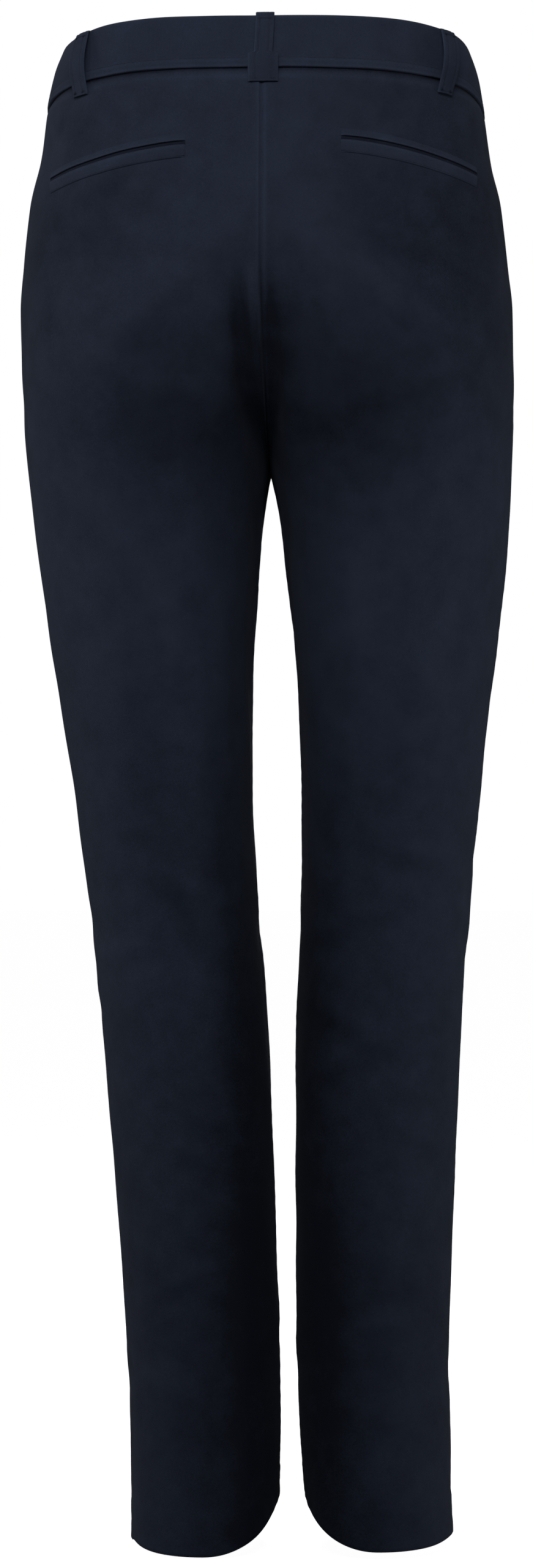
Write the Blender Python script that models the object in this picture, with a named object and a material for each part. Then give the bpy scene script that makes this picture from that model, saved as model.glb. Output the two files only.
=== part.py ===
"""Slim chino trousers, filled out as they are worn, with nobody in them.

Every cloth piece is a thin closed wall. The walls follow level ovals, one for each leg. Above the crotch the
two ovals run into each other and are cut off at the centre seams, so the trousers are one round at the waist.

Origin: the centre of the waist opening. +Z is up, -Y is the front and +X is the wearer's left.
Angles round a leg start at its outer side: 90 degrees is the back, -90 the front and 180 the inner side.
"""

import math
from collections import namedtuple

import bmesh
import bpy
import numpy as np
from mathutils import Vector

# Cloth and seams, in metres
CLOTH = 0.0018
SEAM_GAP = 0.0003
TRIM_CLOTH = 0.0012

# Heights, measured from the centre of the waist opening
BAND_HEIGHT = 0.034
CROTCH = -0.2813
HEM = {"left": -1.0205, "right": -1.0165}

# The waist lies higher at the back and lower at the sides, and the sections are level from the hips down
WAIST_TILT = 0.18
TILT_ENDS = -0.170
WAIST_SIDE_DROP = 0.0040
SIDE_DROP_POWER = 6

# Where the centre seams begin to turn under, on their way to the crotch
SPLIT_TOP = {"back": -0.145, "front": -0.200}
SPLIT_EASE = 1.5

# Each hem is drawn up at its inner and outer sides
HEM_INNER_LIFT = 0.031
HEM_INNER_POWER = 2.1
HEM_OUTER_LIFT = 0.0045
HEM_OUTER_POWER = 2
HEM_LIFT_TOP = -0.920

# From the hips down the legs lean to the wearer's right, and the waist sits a little to that side
LEAN = 0.0204
LEAN_TOP = -0.150
WAIST_SHIFT = 0.0014
WAIST_SHIFT_FADES = (-0.030, 0.0)

# The side seam lies just in front of the outer side
SIDE_SEAM = math.radians(-6)

Sizes = namedtuple("Sizes", "height outer back front back_square front_square")
SECTIONS = (
    # height, outer side, back, front, and how square the back and front of the oval are (2 is an ellipse)
    Sizes(0.020, 0.1352, 0.1070, -0.1020, 3.4, 2.7),
    Sizes(0.000, 0.1402, 0.1090, -0.1040, 3.4, 2.7),
    Sizes(-0.014, 0.1464, 0.1105, -0.1058, 3.2, 2.7),
    Sizes(-0.035, 0.1508, 0.1130, -0.1085, 2.9, 2.7),
    Sizes(-0.070, 0.1557, 0.1180, -0.1120, 2.8, 2.7),
    Sizes(-0.100, 0.1627, 0.1235, -0.1140, 2.8, 2.8),
    Sizes(-0.140, 0.1672, 0.1285, -0.1150, 2.7, 2.8),
    Sizes(-0.170, 0.1699, 0.1290, -0.1155, 2.7, 2.8),
    Sizes(-0.210, 0.1694, 0.1240, -0.1150, 2.6, 2.9),
    Sizes(-0.250, 0.1688, 0.1150, -0.1140, 2.5, 2.8),
    Sizes(-0.282, 0.1670, 0.1060, -0.1120, 2.4, 2.7),
    Sizes(-0.320, 0.1642, 0.1010, -0.1090, 2.3, 2.5),
    Sizes(-0.400, 0.1548, 0.0945, -0.1010, 2.2, 2.3),
    Sizes(-0.480, 0.1436, 0.0830, -0.0925, 2.2, 2.2),
    Sizes(-0.560, 0.1343, 0.0715, -0.0845, 2.2, 2.2),
    Sizes(-0.620, 0.1279, 0.0670, -0.0785, 2.2, 2.2),
    Sizes(-0.700, 0.1222, 0.0662, -0.0715, 2.2, 2.2),
    Sizes(-0.800, 0.1158, 0.0650, -0.0660, 2.2, 2.2),
    Sizes(-0.900, 0.1112, 0.0635, -0.0635, 2.2, 2.2),
    Sizes(-1.030, 0.1110, 0.0635, -0.0635, 2.2, 2.2),
)

LegGap = namedtuple("LegGap", "height half")
LEG_GAPS = (
    # height, and half of the space between the legs
    LegGap(-0.2813, 0.0002),
    LegGap(-0.2907, 0.0035),
    LegGap(-0.3250, 0.0075),
    LegGap(-0.3757, 0.0125),
    LegGap(-0.4270, 0.0161),
    LegGap(-0.5000, 0.0174),
    LegGap(-0.6140, 0.0130),
    LegGap(-0.6700, 0.0097),
    LegGap(-0.8000, 0.0072),
    LegGap(-0.9000, 0.0062),
    LegGap(-0.9700, 0.0072),
    LegGap(-1.0300, 0.0095),
)

Fold = namedtuple("Fold", "side face across height slant length width depth")
FOLDS = (
    # Soft troughs seen from the front or back: centre, slant in degrees (positive rises towards the wearer's
    # outer side), half length, half width and depth
    Fold("left", "back", 0.068, -0.262, 14, 0.070, 0.017, 0.0040),
    Fold("right", "back", 0.074, -0.258, 11, 0.064, 0.018, 0.0036),
    Fold("left", "back", 0.075, -0.566, 58, 0.050, 0.016, 0.0026),
    Fold("right", "back", 0.083, -0.580, 40, 0.046, 0.017, 0.0024),
    Fold("left", "front", 0.060, -0.244, 38, 0.062, 0.016, 0.0038),
    Fold("right", "front", 0.054, -0.252, 44, 0.068, 0.016, 0.0042),
    Fold("left", "front", 0.070, -0.610, -16, 0.046, 0.016, 0.0030),
    Fold("right", "front", 0.080, -0.596, 12, 0.050, 0.017, 0.0032),
    Fold("left", "front", 0.050, -0.930, 10, 0.046, 0.014, 0.0030),
    Fold("right", "front", 0.068, -0.915, -14, 0.044, 0.015, 0.0028),
)

# The folds fade towards the centre seams and inseams, this far from the middle
FOLD_FADES = (0.004, 0.034)

# Rows and columns of the cloth panels
ROWS_ABOVE_CROTCH = 14
ROWS_BELOW_CROTCH = 20
ROW_CROWDING = {"above": 2.2, "below": 1.35}
COLUMNS = 18
COLUMN_CROWDING = 1.15

# Near the crotch only the last columns move over to the panel's edge, and they never cross
EDGE_POWER_MOST = 8
EDGE_POWER_SHARE = 0.75

# Waistband: its lap at the centre front, and how far the under end is set in
BAND_WALL = 0.0028
BAND_PROUD = 0.0005
BAND_COLUMNS = 56
BAND_OVER_END = math.radians(-90 - 5.5)
BAND_UNDER_END = math.radians(270 + 18)
UNDER_RAMP = (math.radians(245), math.radians(260))

# Fly
FLY_LAP = 0.008
FLY_LAP_FADES = (-0.175, -0.155)
FLY_DIP_FADES = (-0.215, -0.180)
FLY_DIP_SPREAD = (0.013, 0.030)
FLY_BOTTOM = -0.205
ZIP_CENTRE = 0.0055
ZIP_TAPE_DEPTH = 0.0058
ZIP_TAPE_WIDTH = 0.024
ZIP_TAPE_WALL = 0.0008
FLY_ROWS = 6
SLIDER_TOP = -0.047
SliderRow = namedtuple("SliderRow", "down half_width thick")
SLIDER_ROWS = (
    SliderRow(0.0000, 0.0028, 0.0028),
    SliderRow(0.0080, 0.0040, 0.0028),
    SliderRow(0.0085, 0.0022, 0.0012),
    SliderRow(0.0260, 0.0022, 0.0012),
)
SHIELD_DEPTH = 0.0070
SHIELD_SPAN = (-0.020, 0.030)

# Belt loops: width, and how far they stand off the cloth on the way down
LOOP_WALL = 0.0015
LOOP_WIDTH = 0.0125
LOOP_FOOT_WIDTH = 0.0203
LOOP_FOOT_TOP = -0.0255
LOOP_ACROSS = {
    ("back", "left"): 0.1225,
    ("back", "right"): 0.1220,
    ("front", "left"): 0.0880,
    ("front", "right"): 0.0880,
}
CENTRE_LOOP_ACROSS = 0.0008
LOOP_COLUMNS = 4
LoopRow = namedtuple("LoopRow", "height stand_off")
LOOP_ROWS = (
    LoopRow(0.0015, 0.0010),
    LoopRow(0.0000, 0.0018),
    LoopRow(-0.0080, 0.0025),
    LoopRow(-0.0175, 0.0028),
    LoopRow(-0.0255, 0.0025),
    LoopRow(-0.0265, 0.0024),
    LoopRow(-0.0345, 0.0017),
    LoopRow(-0.0430, 0.0006),
)

# Back welts: the pocket mouth's inner and outer ends, and the drop between them
WELT_INNER = {"left": (0.051, -0.0785), "right": (0.053, -0.0758)}
WELT_OUTER_ACROSS = 0.1445
WELT_DROP = 0.0130
WELT_FALL = 1.5
WELT_WIDTH = 0.0085
WELT_COLUMNS = 20
WELT_CROWDING = 1.3

# Trims lie this far off the cloth under them
TRIM_GAP = 0.0006

# Front pocket edges run from the waistband to the side seam
POCKET_TOP_ACROSS = 0.118
POCKET_TOP = -0.0365
POCKET_FOOT = -0.180
POCKET_FOOT_ANGLE = math.radians(-15)
POCKET_EDGE_WIDTH = 0.0070
POCKET_ROWS = 16

HEM_DEPTH = 0.032

# Button
BUTTON_ANGLE = math.radians(-90 + 3.5)
BUTTON_RADIUS = 0.0085
BUTTON_RIM = 0.0011
BUTTON_THICK = 0.0030
BUTTON_PROFILE = (
    # radius and height, from the middle of the underside round the rim to the middle of the dish
    (0.0, 0.0),
    (BUTTON_RADIUS - 0.0010, 0.0),
    (BUTTON_RADIUS, 0.0010),
    (BUTTON_RADIUS, BUTTON_THICK - 0.0006),
    (BUTTON_RADIUS - 0.0005, BUTTON_THICK),
    (BUTTON_RADIUS - BUTTON_RIM, BUTTON_THICK),
    (BUTTON_RADIUS - BUTTON_RIM - 0.0008, BUTTON_THICK - 0.0009),
    (0.0, BUTTON_THICK - 0.0009),
)
BUTTON_HOLE_RADIUS = 0.0009
BUTTON_HOLE_OUT = 0.0019
BUTTON_SEGMENTS = 24

SIGN = {"left": 1, "right": -1}
STEP = 0.0005


def smooth_step(value, low, high):
    share = min(max((value - low) / (high - low), 0.0), 1.0)
    return share * share * (3 - 2 * share)


def smooth_curve(rows):
    """The table's heights, values and slopes, the slopes chosen so that a curve through them never overshoots."""
    table = np.array(sorted(rows))
    heights, values = table[:, 0], table[:, 1:]
    rise = np.diff(values, axis=0) / np.diff(heights)[:, None]
    slopes = np.vstack([rise[:1], np.zeros_like(rise[1:]), rise[-1:]])
    same_way = rise[:-1] * rise[1:] > 0
    total = np.where(same_way, rise[:-1] + rise[1:], 1.0)
    slopes[1:-1] = np.where(same_way, 2 * rise[:-1] * rise[1:] / total, 0.0)
    return heights, values, slopes


def read_curve(curve, height):
    heights, values, slopes = curve
    i = int(np.clip(np.searchsorted(heights, height) - 1, 0, len(heights) - 2))
    step = heights[i + 1] - heights[i]
    t = (height - heights[i]) / step
    ends = (1 + 2 * t) * (1 - t) ** 2 * values[i] + t * t * (3 - 2 * t) * values[i + 1]
    return ends + step * (t * (1 - t) ** 2 * slopes[i] - t * t * (1 - t) * slopes[i + 1])


SECTION_CURVE = smooth_curve(SECTIONS)
GAP_CURVE = smooth_curve(LEG_GAPS)
Oval = namedtuple("Oval", "centre_x centre_y half_width half_depth square")


def oval_at(height, face):
    """The oval of one leg, or of one side of the seat, on its back or its front half."""
    outer, back, front, back_square, front_square = read_curve(SECTION_CURVE, height)
    if height > CROTCH:
        top = SPLIT_TOP[face]
        share = min(max((top - height) / (top - CROTCH), 0.0), 1.0)
        split = 1 - (1 - share) ** SPLIT_EASE
        inner = -outer * (1 - split) / (1 + split)
    else:
        inner = float(read_curve(GAP_CURVE, height)[0])
    square = back_square if face == "back" else front_square
    return Oval((outer + inner) / 2, (back + front) / 2, (outer - inner) / 2, (back - front) / 2, square)


def middle_at(height):
    """Where the plane between the left and right halves lies."""
    return LEAN * min(height - LEAN_TOP, 0.0) - WAIST_SHIFT * smooth_step(height, *WAIST_SHIFT_FADES)


def face_of(angle):
    return "back" if math.sin(angle) > 0 else "front"


def bare_skin(side, angle, height):
    """A point on the outside of the cloth before the folds."""
    oval = oval_at(height, face_of(angle))
    across = abs(math.cos(angle) / oval.half_width) ** oval.square
    along = abs(math.sin(angle) / oval.half_depth) ** oval.square
    reach = (across + along) ** (-1 / oval.square)
    x = oval.centre_x + reach * math.cos(angle)
    y = oval.centre_y + reach * math.sin(angle)
    drop = WAIST_SIDE_DROP * abs(math.cos(angle)) ** SIDE_DROP_POWER
    rise = (WAIST_TILT * y - drop) * smooth_step(height, TILT_ENDS, 0.0)
    inward = -math.cos(angle)
    lift = HEM_INNER_LIFT * max(inward, 0.0) ** HEM_INNER_POWER
    lift += HEM_OUTER_LIFT * max(-inward, 0.0) ** HEM_OUTER_POWER
    lift *= smooth_step(height, HEM_LIFT_TOP, HEM["left"])
    return Vector((SIGN[side] * x + middle_at(height), y, height + rise + lift))


def outward(side, angle, height):
    """The cloth's outward direction."""
    around = bare_skin(side, angle + STEP, height) - bare_skin(side, angle - STEP, height)
    upward = bare_skin(side, angle, height + STEP) - bare_skin(side, angle, height - STEP)
    return SIGN[side] * around.cross(upward).normalized()


def fold_depth(side, angle, height, point):
    """How far the folds draw the cloth in at this point."""
    depth = 0.0
    for fold in FOLDS:
        if fold.side != side or fold.face != face_of(angle):
            continue
        slant = math.radians(fold.slant)
        right = SIGN[side] * point.x - fold.across
        up = point.z - fold.height
        along = (right * math.cos(slant) + up * math.sin(slant)) / fold.length
        aside = (up * math.cos(slant) - right * math.sin(slant)) / fold.width
        depth += fold.depth * math.exp(-aside * aside) * math.exp(-(along**4))
    return depth * smooth_step(abs(point.x - middle_at(height)), *FOLD_FADES)


def skin(side, angle, height, out=0.0):
    """A point on the outside of the cloth, moved out, or in where out is negative."""
    point = bare_skin(side, angle, height)
    return point + outward(side, angle, height) * (out - fold_depth(side, angle, height, point))


def centre_angle(height, face, cut):
    """The angle at which a panel ends: at the plane x = cut above the crotch, and at the inseam below it."""
    oval = oval_at(height, face)
    share = abs(oval.centre_x - cut) / oval.half_width
    angle = math.pi - SEAM_GAP / 2 / oval.half_width
    if share < 1:
        depth = oval.half_depth * (1 - share**oval.square) ** (1 / oval.square)
        angle = min(angle, math.atan2(depth, cut - oval.centre_x))
    return angle if face == "back" else -angle


def cloth_material(name, red, green, blue, roughness=0.9, metallic=0.0):
    material = bpy.data.materials.new(name)
    material.use_nodes = True
    shader = material.node_tree.nodes["Principled BSDF"]
    shader.inputs["Base Color"].default_value = (red, green, blue, 1)
    shader.inputs["Roughness"].default_value = roughness
    shader.inputs["Metallic"].default_value = metallic
    material.diffuse_color = (red, green, blue, 1)
    return material


def add_object(name, mesh, material):
    mesh.shade_smooth()
    mesh.set_sharp_from_angle(angle=math.radians(50))
    mesh.materials.append(material)
    thing = bpy.data.objects.new(name, mesh)
    bpy.context.scene.collection.objects.link(thing)
    return thing


def wall(name, rows, material, closed=False):
    """A closed wall from rows of (outside point, inside point) pairs. A closed wall runs on from last to first."""
    shell = bmesh.new()
    outside = [[shell.verts.new(pair[0]) for pair in row] for row in rows]
    inside = [[shell.verts.new(pair[1]) for pair in row] for row in rows]
    count = len(rows[0])
    for i in range(len(rows) - 1):
        for j in range(count if closed else count - 1):
            k = (j + 1) % count
            shell.faces.new((outside[i][j], outside[i][k], outside[i + 1][k], outside[i + 1][j]))
            shell.faces.new((inside[i + 1][j], inside[i + 1][k], inside[i][k], inside[i][j]))
    for i in (0, len(rows) - 1):
        for j in range(count if closed else count - 1):
            k = (j + 1) % count
            shell.faces.new((outside[i][j], inside[i][j], inside[i][k], outside[i][k]))
    if not closed:
        for j in (0, count - 1):
            for i in range(len(rows) - 1):
                shell.faces.new((outside[i][j], outside[i + 1][j], inside[i + 1][j], inside[i][j]))
    bmesh.ops.recalc_face_normals(shell, faces=shell.faces)
    mesh = bpy.data.meshes.new(name)
    shell.to_mesh(mesh)
    shell.free()
    return add_object(name, mesh, material)


def panel_heights(side):
    top = -BAND_HEIGHT - SEAM_GAP
    above = [(1 - i / ROWS_ABOVE_CROTCH) ** ROW_CROWDING["above"] for i in range(ROWS_ABOVE_CROTCH)]
    below = [(i / ROWS_BELOW_CROTCH) ** ROW_CROWDING["below"] for i in range(ROWS_BELOW_CROTCH + 1)]
    heights = [CROTCH + (top - CROTCH) * share for share in above]
    return heights + [CROTCH + (HEM[side] - CROTCH) * share for share in below]


def panel_angles(side, face, height):
    """The columns of a panel, from its side seam to its centre seam or inseam, closer together at the end.

    Above the crotch a panel stops short of the inner side, and the columns nearest its edge move over most.
    """
    cut = SEAM_GAP / 2
    if face == "front" and side == "left":
        cut -= FLY_LAP * smooth_step(height, *FLY_LAP_FADES)
    end = centre_angle(height, face, cut)
    turn = 1 if face == "back" else -1
    start = SIDE_SEAM + turn * SEAM_GAP / 2 / oval_at(height, face).half_depth
    span = turn * math.pi - start
    missing = turn * math.pi - end
    power = min(EDGE_POWER_SHARE * span / missing, EDGE_POWER_MOST)
    shares = [1 - (1 - j / (COLUMNS - 1)) ** COLUMN_CROWDING for j in range(COLUMNS)]
    return [start + span * share - missing * share**power for share in shares]


def fly_dip(side, face, angle, height):
    """How far the right front goes in, under the lap of the left one."""
    if side == "left" or face == "back":
        return 0.0
    across = abs(bare_skin(side, angle, height).x - middle_at(height))
    near = 1 - smooth_step(across, *FLY_DIP_SPREAD)
    return (CLOTH + SEAM_GAP) * near * smooth_step(height, *FLY_DIP_FADES)


def panel(side, face, material):
    rows = []
    for height in panel_heights(side):
        row = []
        for angle in panel_angles(side, face, height):
            dip = fly_dip(side, face, angle, height)
            row.append((skin(side, angle, height, -dip), skin(side, angle, height, -dip - CLOTH)))
        rows.append(row)
    return wall(f"{face}_{side}", rows, material)


def hem(side, material):
    """The turned-up hem inside a leg, on the same columns as the panels that it is folded from."""
    rows = []
    for height in (HEM[side], HEM[side] + HEM_DEPTH):
        back = panel_angles(side, "back", height)
        front = panel_angles(side, "front", height)
        row = []
        for angle in back + front[::-1]:
            outside = skin(side, angle, height, -CLOTH - SEAM_GAP)
            row.append((outside, skin(side, angle, height, -CLOTH - SEAM_GAP - TRIM_CLOTH)))
        rows.append(row)
    return wall(f"hem_{side}", rows, material, closed=True)


def waistband(material):
    """One strip round the waist. Its left end laps over its right end, which is set in by its own thickness."""
    rows = []
    for height in (0.0, -BAND_HEIGHT / 2, -BAND_HEIGHT):
        row = []
        for j in range(BAND_COLUMNS + 1):
            angle = BAND_OVER_END + (BAND_UNDER_END - BAND_OVER_END) * j / BAND_COLUMNS
            set_in = (BAND_WALL + SEAM_GAP) * smooth_step(angle, *UNDER_RAMP)
            row.append(
                (
                    skin("left", angle, height, BAND_PROUD - set_in),
                    skin("left", angle, height, BAND_PROUD - set_in - BAND_WALL),
                )
            )
        rows.append(row)
    return wall("waistband", rows, material)


def angle_across(face, across, height):
    """The angle of the cloth that lies this far from the centre plane."""
    oval = oval_at(height, face)
    share = abs(across - oval.centre_x) / oval.half_width
    depth = oval.half_depth * (1 - share**oval.square) ** (1 / oval.square)
    angle = math.atan2(depth, across - oval.centre_x)
    return angle if face == "back" else -angle


def belt_loop(name, side, face, across, material, foot_width=LOOP_WIDTH):
    rows = []
    for row in LOOP_ROWS:
        middle = angle_across(face, across, row.height)
        reach = (bare_skin(side, middle + STEP, row.height) - bare_skin(side, middle, row.height)).length / STEP
        width = LOOP_WIDTH if row.height >= LOOP_FOOT_TOP else foot_width
        points = []
        for j in range(LOOP_COLUMNS):
            angle = middle + (j / (LOOP_COLUMNS - 1) - 0.5) * width / reach
            points.append(
                (
                    skin(side, angle, row.height, row.stand_off + LOOP_WALL),
                    skin(side, angle, row.height, row.stand_off),
                )
            )
        rows.append(points)
    return wall(name, rows, material)


def back_welt(side, material):
    """A strip on the seat, with the pocket's mouth along its upper edge."""
    inner, top = WELT_INNER[side]
    rows = []
    for down in (0.0, WELT_WIDTH):
        row = []
        for j in range(WELT_COLUMNS + 1):
            share = j / WELT_COLUMNS
            across = inner + (WELT_OUTER_ACROSS - inner) * (1 - (1 - share) ** WELT_CROWDING)
            height = top - WELT_DROP * share**WELT_FALL - down
            angle = angle_across("back", across, height)
            outside = skin(side, angle, height, TRIM_GAP + TRIM_CLOTH)
            row.append((outside, skin(side, angle, height, TRIM_GAP)))
        rows.append(row)
    return wall(f"back_welt_{side}", rows, material)


def front_pocket_edge(side, material):
    """The double edge of a slanted front pocket, from the waistband to just in front of the side seam."""
    rows = []
    top_angle = angle_across("front", POCKET_TOP_ACROSS, POCKET_TOP)
    for i in range(POCKET_ROWS + 1):
        share = i / POCKET_ROWS
        height = POCKET_TOP + (POCKET_FOOT - POCKET_TOP) * share
        angle = top_angle + (POCKET_FOOT_ANGLE - top_angle) * share
        reach = (bare_skin(side, angle + STEP, height) - bare_skin(side, angle, height)).length / STEP
        row = []
        for width in (0.0, POCKET_EDGE_WIDTH):
            near = angle - width / reach
            outside = skin(side, near, height, TRIM_GAP + TRIM_CLOTH)
            row.append((outside, skin(side, near, height, TRIM_GAP)))
        rows.append(row)
    return wall(f"front_pocket_edge_{side}", rows, material)


def fly_strip(name, left, right, depth, thickness, material):
    """A flat strip inside the front opening, from the waistband's foot to the bottom of the fly."""
    rows = []
    for i in range(FLY_ROWS + 1):
        height = -BAND_HEIGHT / 2 + (FLY_BOTTOM + BAND_HEIGHT / 2) * i / FLY_ROWS
        seam = bare_skin("left", -math.pi / 2, height)
        row = []
        for across in (left, right):
            outside = Vector((across, seam.y + depth, seam.z))
            row.append((outside, outside + Vector((0, thickness, 0))))
        rows.append(row)
    return wall(name, rows, material)


def zip_slider(material):
    """The slider at the top of the zip, with its tab hanging down the front of the tape."""
    rows = []
    for down, half_width, thick in SLIDER_ROWS:
        seam = bare_skin("left", -math.pi / 2, SLIDER_TOP - down)
        row = []
        for across in (-half_width, half_width):
            base = Vector((ZIP_CENTRE + across, seam.y + ZIP_TAPE_DEPTH - SEAM_GAP, seam.z))
            row.append((base - Vector((0, thick, 0)), base))
        rows.append(row)
    return wall("zip_slider", rows, material)


def button(material):
    """A four-hole button with a raised rim, on the lap of the waistband."""
    turned = bmesh.new()
    points = [turned.verts.new((radius, 0, height)) for radius, height in BUTTON_PROFILE]
    edges = [turned.edges.new(pair) for pair in zip(points, points[1:])]
    bmesh.ops.spin(
        turned,
        geom=points + edges,
        cent=(0, 0, 0),
        axis=(0, 0, 1),
        angle=math.tau,
        steps=BUTTON_SEGMENTS,
        use_merge=True,
    )
    bmesh.ops.remove_doubles(turned, verts=turned.verts, dist=1e-6)
    bmesh.ops.recalc_face_normals(turned, faces=turned.faces)
    mesh = bpy.data.meshes.new("waistband_button")
    turned.to_mesh(mesh)
    turned.free()
    disc = add_object("waistband_button", mesh, material)
    for i in range(4):
        turn = math.tau * (i + 0.5) / 4
        bpy.ops.mesh.primitive_cylinder_add(vertices=10, radius=BUTTON_HOLE_RADIUS, depth=BUTTON_THICK * 3)
        hole = bpy.context.object
        hole.name = f"button_hole_cutter_{i + 1}"
        hole.data.materials.append(material)
        hole.hide_render = True
        hole.display_type = "WIRE"
        hole.location = (BUTTON_HOLE_OUT * math.cos(turn), BUTTON_HOLE_OUT * math.sin(turn), 0)
        hole.parent = disc
        cut = disc.modifiers.new(f"hole {i + 1}", "BOOLEAN")
        cut.operation = "DIFFERENCE"
        cut.object = hole
    height = -BAND_HEIGHT / 2
    facing = outward("left", BUTTON_ANGLE, height)
    disc.rotation_euler = facing.to_track_quat("Z", "Y").to_euler()
    disc.location = skin("left", BUTTON_ANGLE, height, BAND_PROUD + SEAM_GAP)


def main():
    for thing in list(bpy.data.objects):
        bpy.data.objects.remove(thing)

    twill = {
        "back": cloth_material("back twill", 0.0150, 0.0190, 0.0320),
        "front": cloth_material("front twill", 0.0140, 0.0180, 0.0300),
    }
    for side in SIGN:
        for face in ("front", "back"):
            panel(side, face, twill[face])
        hem(side, cloth_material(f"hem twill {side}", 0.0120, 0.0150, 0.0250))
        trim = cloth_material(f"pocket twill {side}", 0.0130, 0.0165, 0.0280)
        back_welt(side, trim)
        front_pocket_edge(side, trim)

    band = cloth_material("waistband twill", 0.0165, 0.0205, 0.0340)
    waistband(band)
    loops = cloth_material("belt loop twill", 0.0180, 0.0220, 0.0360)
    belt_loop("belt_loop_back_centre", "right", "back", CENTRE_LOOP_ACROSS, loops, LOOP_FOOT_WIDTH)
    for (face, side), across in LOOP_ACROSS.items():
        belt_loop(f"belt_loop_{face}_{side}", side, face, across, loops)

    shield = cloth_material("fly shield twill", 0.0130, 0.0160, 0.0270)
    fly_strip("fly_shield", *SHIELD_SPAN, SHIELD_DEPTH, TRIM_CLOTH, shield)
    tape = cloth_material("zip tape", 0.0110, 0.0130, 0.0200, roughness=0.8)
    half = ZIP_TAPE_WIDTH / 2
    fly_strip("zip_tape", ZIP_CENTRE - half, ZIP_CENTRE + half, ZIP_TAPE_DEPTH, ZIP_TAPE_WALL, tape)
    zip_slider(cloth_material("zip slider metal", 0.25, 0.22, 0.17, roughness=0.4, metallic=1.0))
    button(cloth_material("button resin", 0.0150, 0.0170, 0.0250, roughness=0.35))


main()
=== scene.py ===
# %% [markdown]
# # Slim navy chinos
# Trousers are flat pieces of cloth sewn into two tubes that share one top. These are cotton twill, filled out
# as if somebody wore them. This lesson gives each piece its thin cloth form, its creases, its seams and its
# sewing, and then a twill finish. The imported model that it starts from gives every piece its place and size.

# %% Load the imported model
import math
from collections import namedtuple

import bmesh
import bpy
import numpy as np
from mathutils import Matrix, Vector


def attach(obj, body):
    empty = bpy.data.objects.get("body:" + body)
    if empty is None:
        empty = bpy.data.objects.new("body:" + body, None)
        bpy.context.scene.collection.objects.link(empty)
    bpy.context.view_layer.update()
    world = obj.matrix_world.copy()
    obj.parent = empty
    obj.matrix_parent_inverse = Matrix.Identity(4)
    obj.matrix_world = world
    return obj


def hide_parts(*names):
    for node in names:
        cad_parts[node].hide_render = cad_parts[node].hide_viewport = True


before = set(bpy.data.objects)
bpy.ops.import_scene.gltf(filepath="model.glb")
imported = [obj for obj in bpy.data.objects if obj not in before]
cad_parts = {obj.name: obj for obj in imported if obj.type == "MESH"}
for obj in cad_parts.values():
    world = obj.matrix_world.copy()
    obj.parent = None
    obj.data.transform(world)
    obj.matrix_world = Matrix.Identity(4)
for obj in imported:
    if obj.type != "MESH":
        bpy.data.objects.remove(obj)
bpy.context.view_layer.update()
print("pieces in the packed model:", len(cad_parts))

# %% [markdown]
# ## Camera
# The trousers are seen from behind at half their height, with a long lens, so that they keep their outline.
# The frame is 871 by 2560. A pixel of it is 0.425 mm at the middle of the cloth, and the lens follows from that.

# %% Place the camera
PIXEL = 0.000425
FRAME_HEIGHT = 2560
SENSOR = 36
CAMERA_DISTANCE = 3.0
CAMERA_ASIDE = 0.0002
CAMERA_HEIGHT = -0.4947
CAMERA_TURN = math.radians(1.7)


def add_object(name, data):
    thing = bpy.data.objects.new(name, data)
    bpy.context.scene.collection.objects.link(thing)
    return thing


toward_camera = Vector((-math.sin(CAMERA_TURN), math.cos(CAMERA_TURN), 0))
camera_data = bpy.data.cameras.new("camera")
camera_data.sensor_width = SENSOR
camera_data.lens = SENSOR * CAMERA_DISTANCE / (FRAME_HEIGHT * PIXEL)
camera = add_object("camera", camera_data)
camera.location = toward_camera * CAMERA_DISTANCE + Vector((CAMERA_ASIDE, 0, CAMERA_HEIGHT))
camera.rotation_euler = (-toward_camera).to_track_quat("-Z", "Y").to_euler()
bpy.context.scene.camera = camera
print("lens:", round(camera_data.lens, 1), "mm")

# %% [markdown]
# ## Nodes
# The materials, the world and the sewing are all small trees of nodes. One helper adds a node, gives it its
# settings, and sets or links its inputs, so that each tree below reads as a short list.

# %% Add and link nodes


def feed(tree, socket, value):
    """Links the socket to another node's output, or else gives it the value."""
    if isinstance(value, bpy.types.NodeSocket):
        tree.links.new(value, socket)
    else:
        socket.default_value = value


def add_node(tree, kind, inputs=None, **settings):
    """A node with these settings, and with these inputs by name or number."""
    node = tree.nodes.new(kind)
    for name, value in settings.items():
        setattr(node, name, value)
    for name, value in (inputs or {}).items():
        feed(tree, node.inputs[name], value)
    return node


def maths(tree, operation, *values):
    return add_node(tree, "ShaderNodeMath", dict(enumerate(values)), operation=operation).outputs[0]


def noise(tree, vector, scale, detail=2.0, roughness=0.5):
    inputs = {"Vector": vector, "Scale": scale, "Detail": detail, "Roughness": roughness}
    return add_node(tree, "ShaderNodeTexNoise", inputs).outputs["Fac"]


def new_material(name, values):
    """A material, its tree and its main shader, with these inputs of the shader."""
    material = bpy.data.materials.new(name)
    material.use_nodes = True
    shader = material.node_tree.nodes["Principled BSDF"]
    for socket, value in values.items():
        shader.inputs[socket].default_value = value
    return material, material.node_tree, shader


def two_tone(tree, shader, low, high, share):
    """Colours the shader between two tones."""
    inputs = {"A": (*low, 1), "B": (*high, 1), "Factor": share}
    tone = add_node(tree, "ShaderNodeMix", inputs, data_type="RGBA")
    feed(tree, shader.inputs["Base Color"], tone.outputs["Result"])


def add_bump(tree, shader, height, strength, distance):
    inputs = {"Height": height, "Strength": strength, "Distance": distance}
    feed(tree, shader.inputs["Normal"], add_node(tree, "ShaderNodeBump", inputs).outputs["Normal"])


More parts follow.
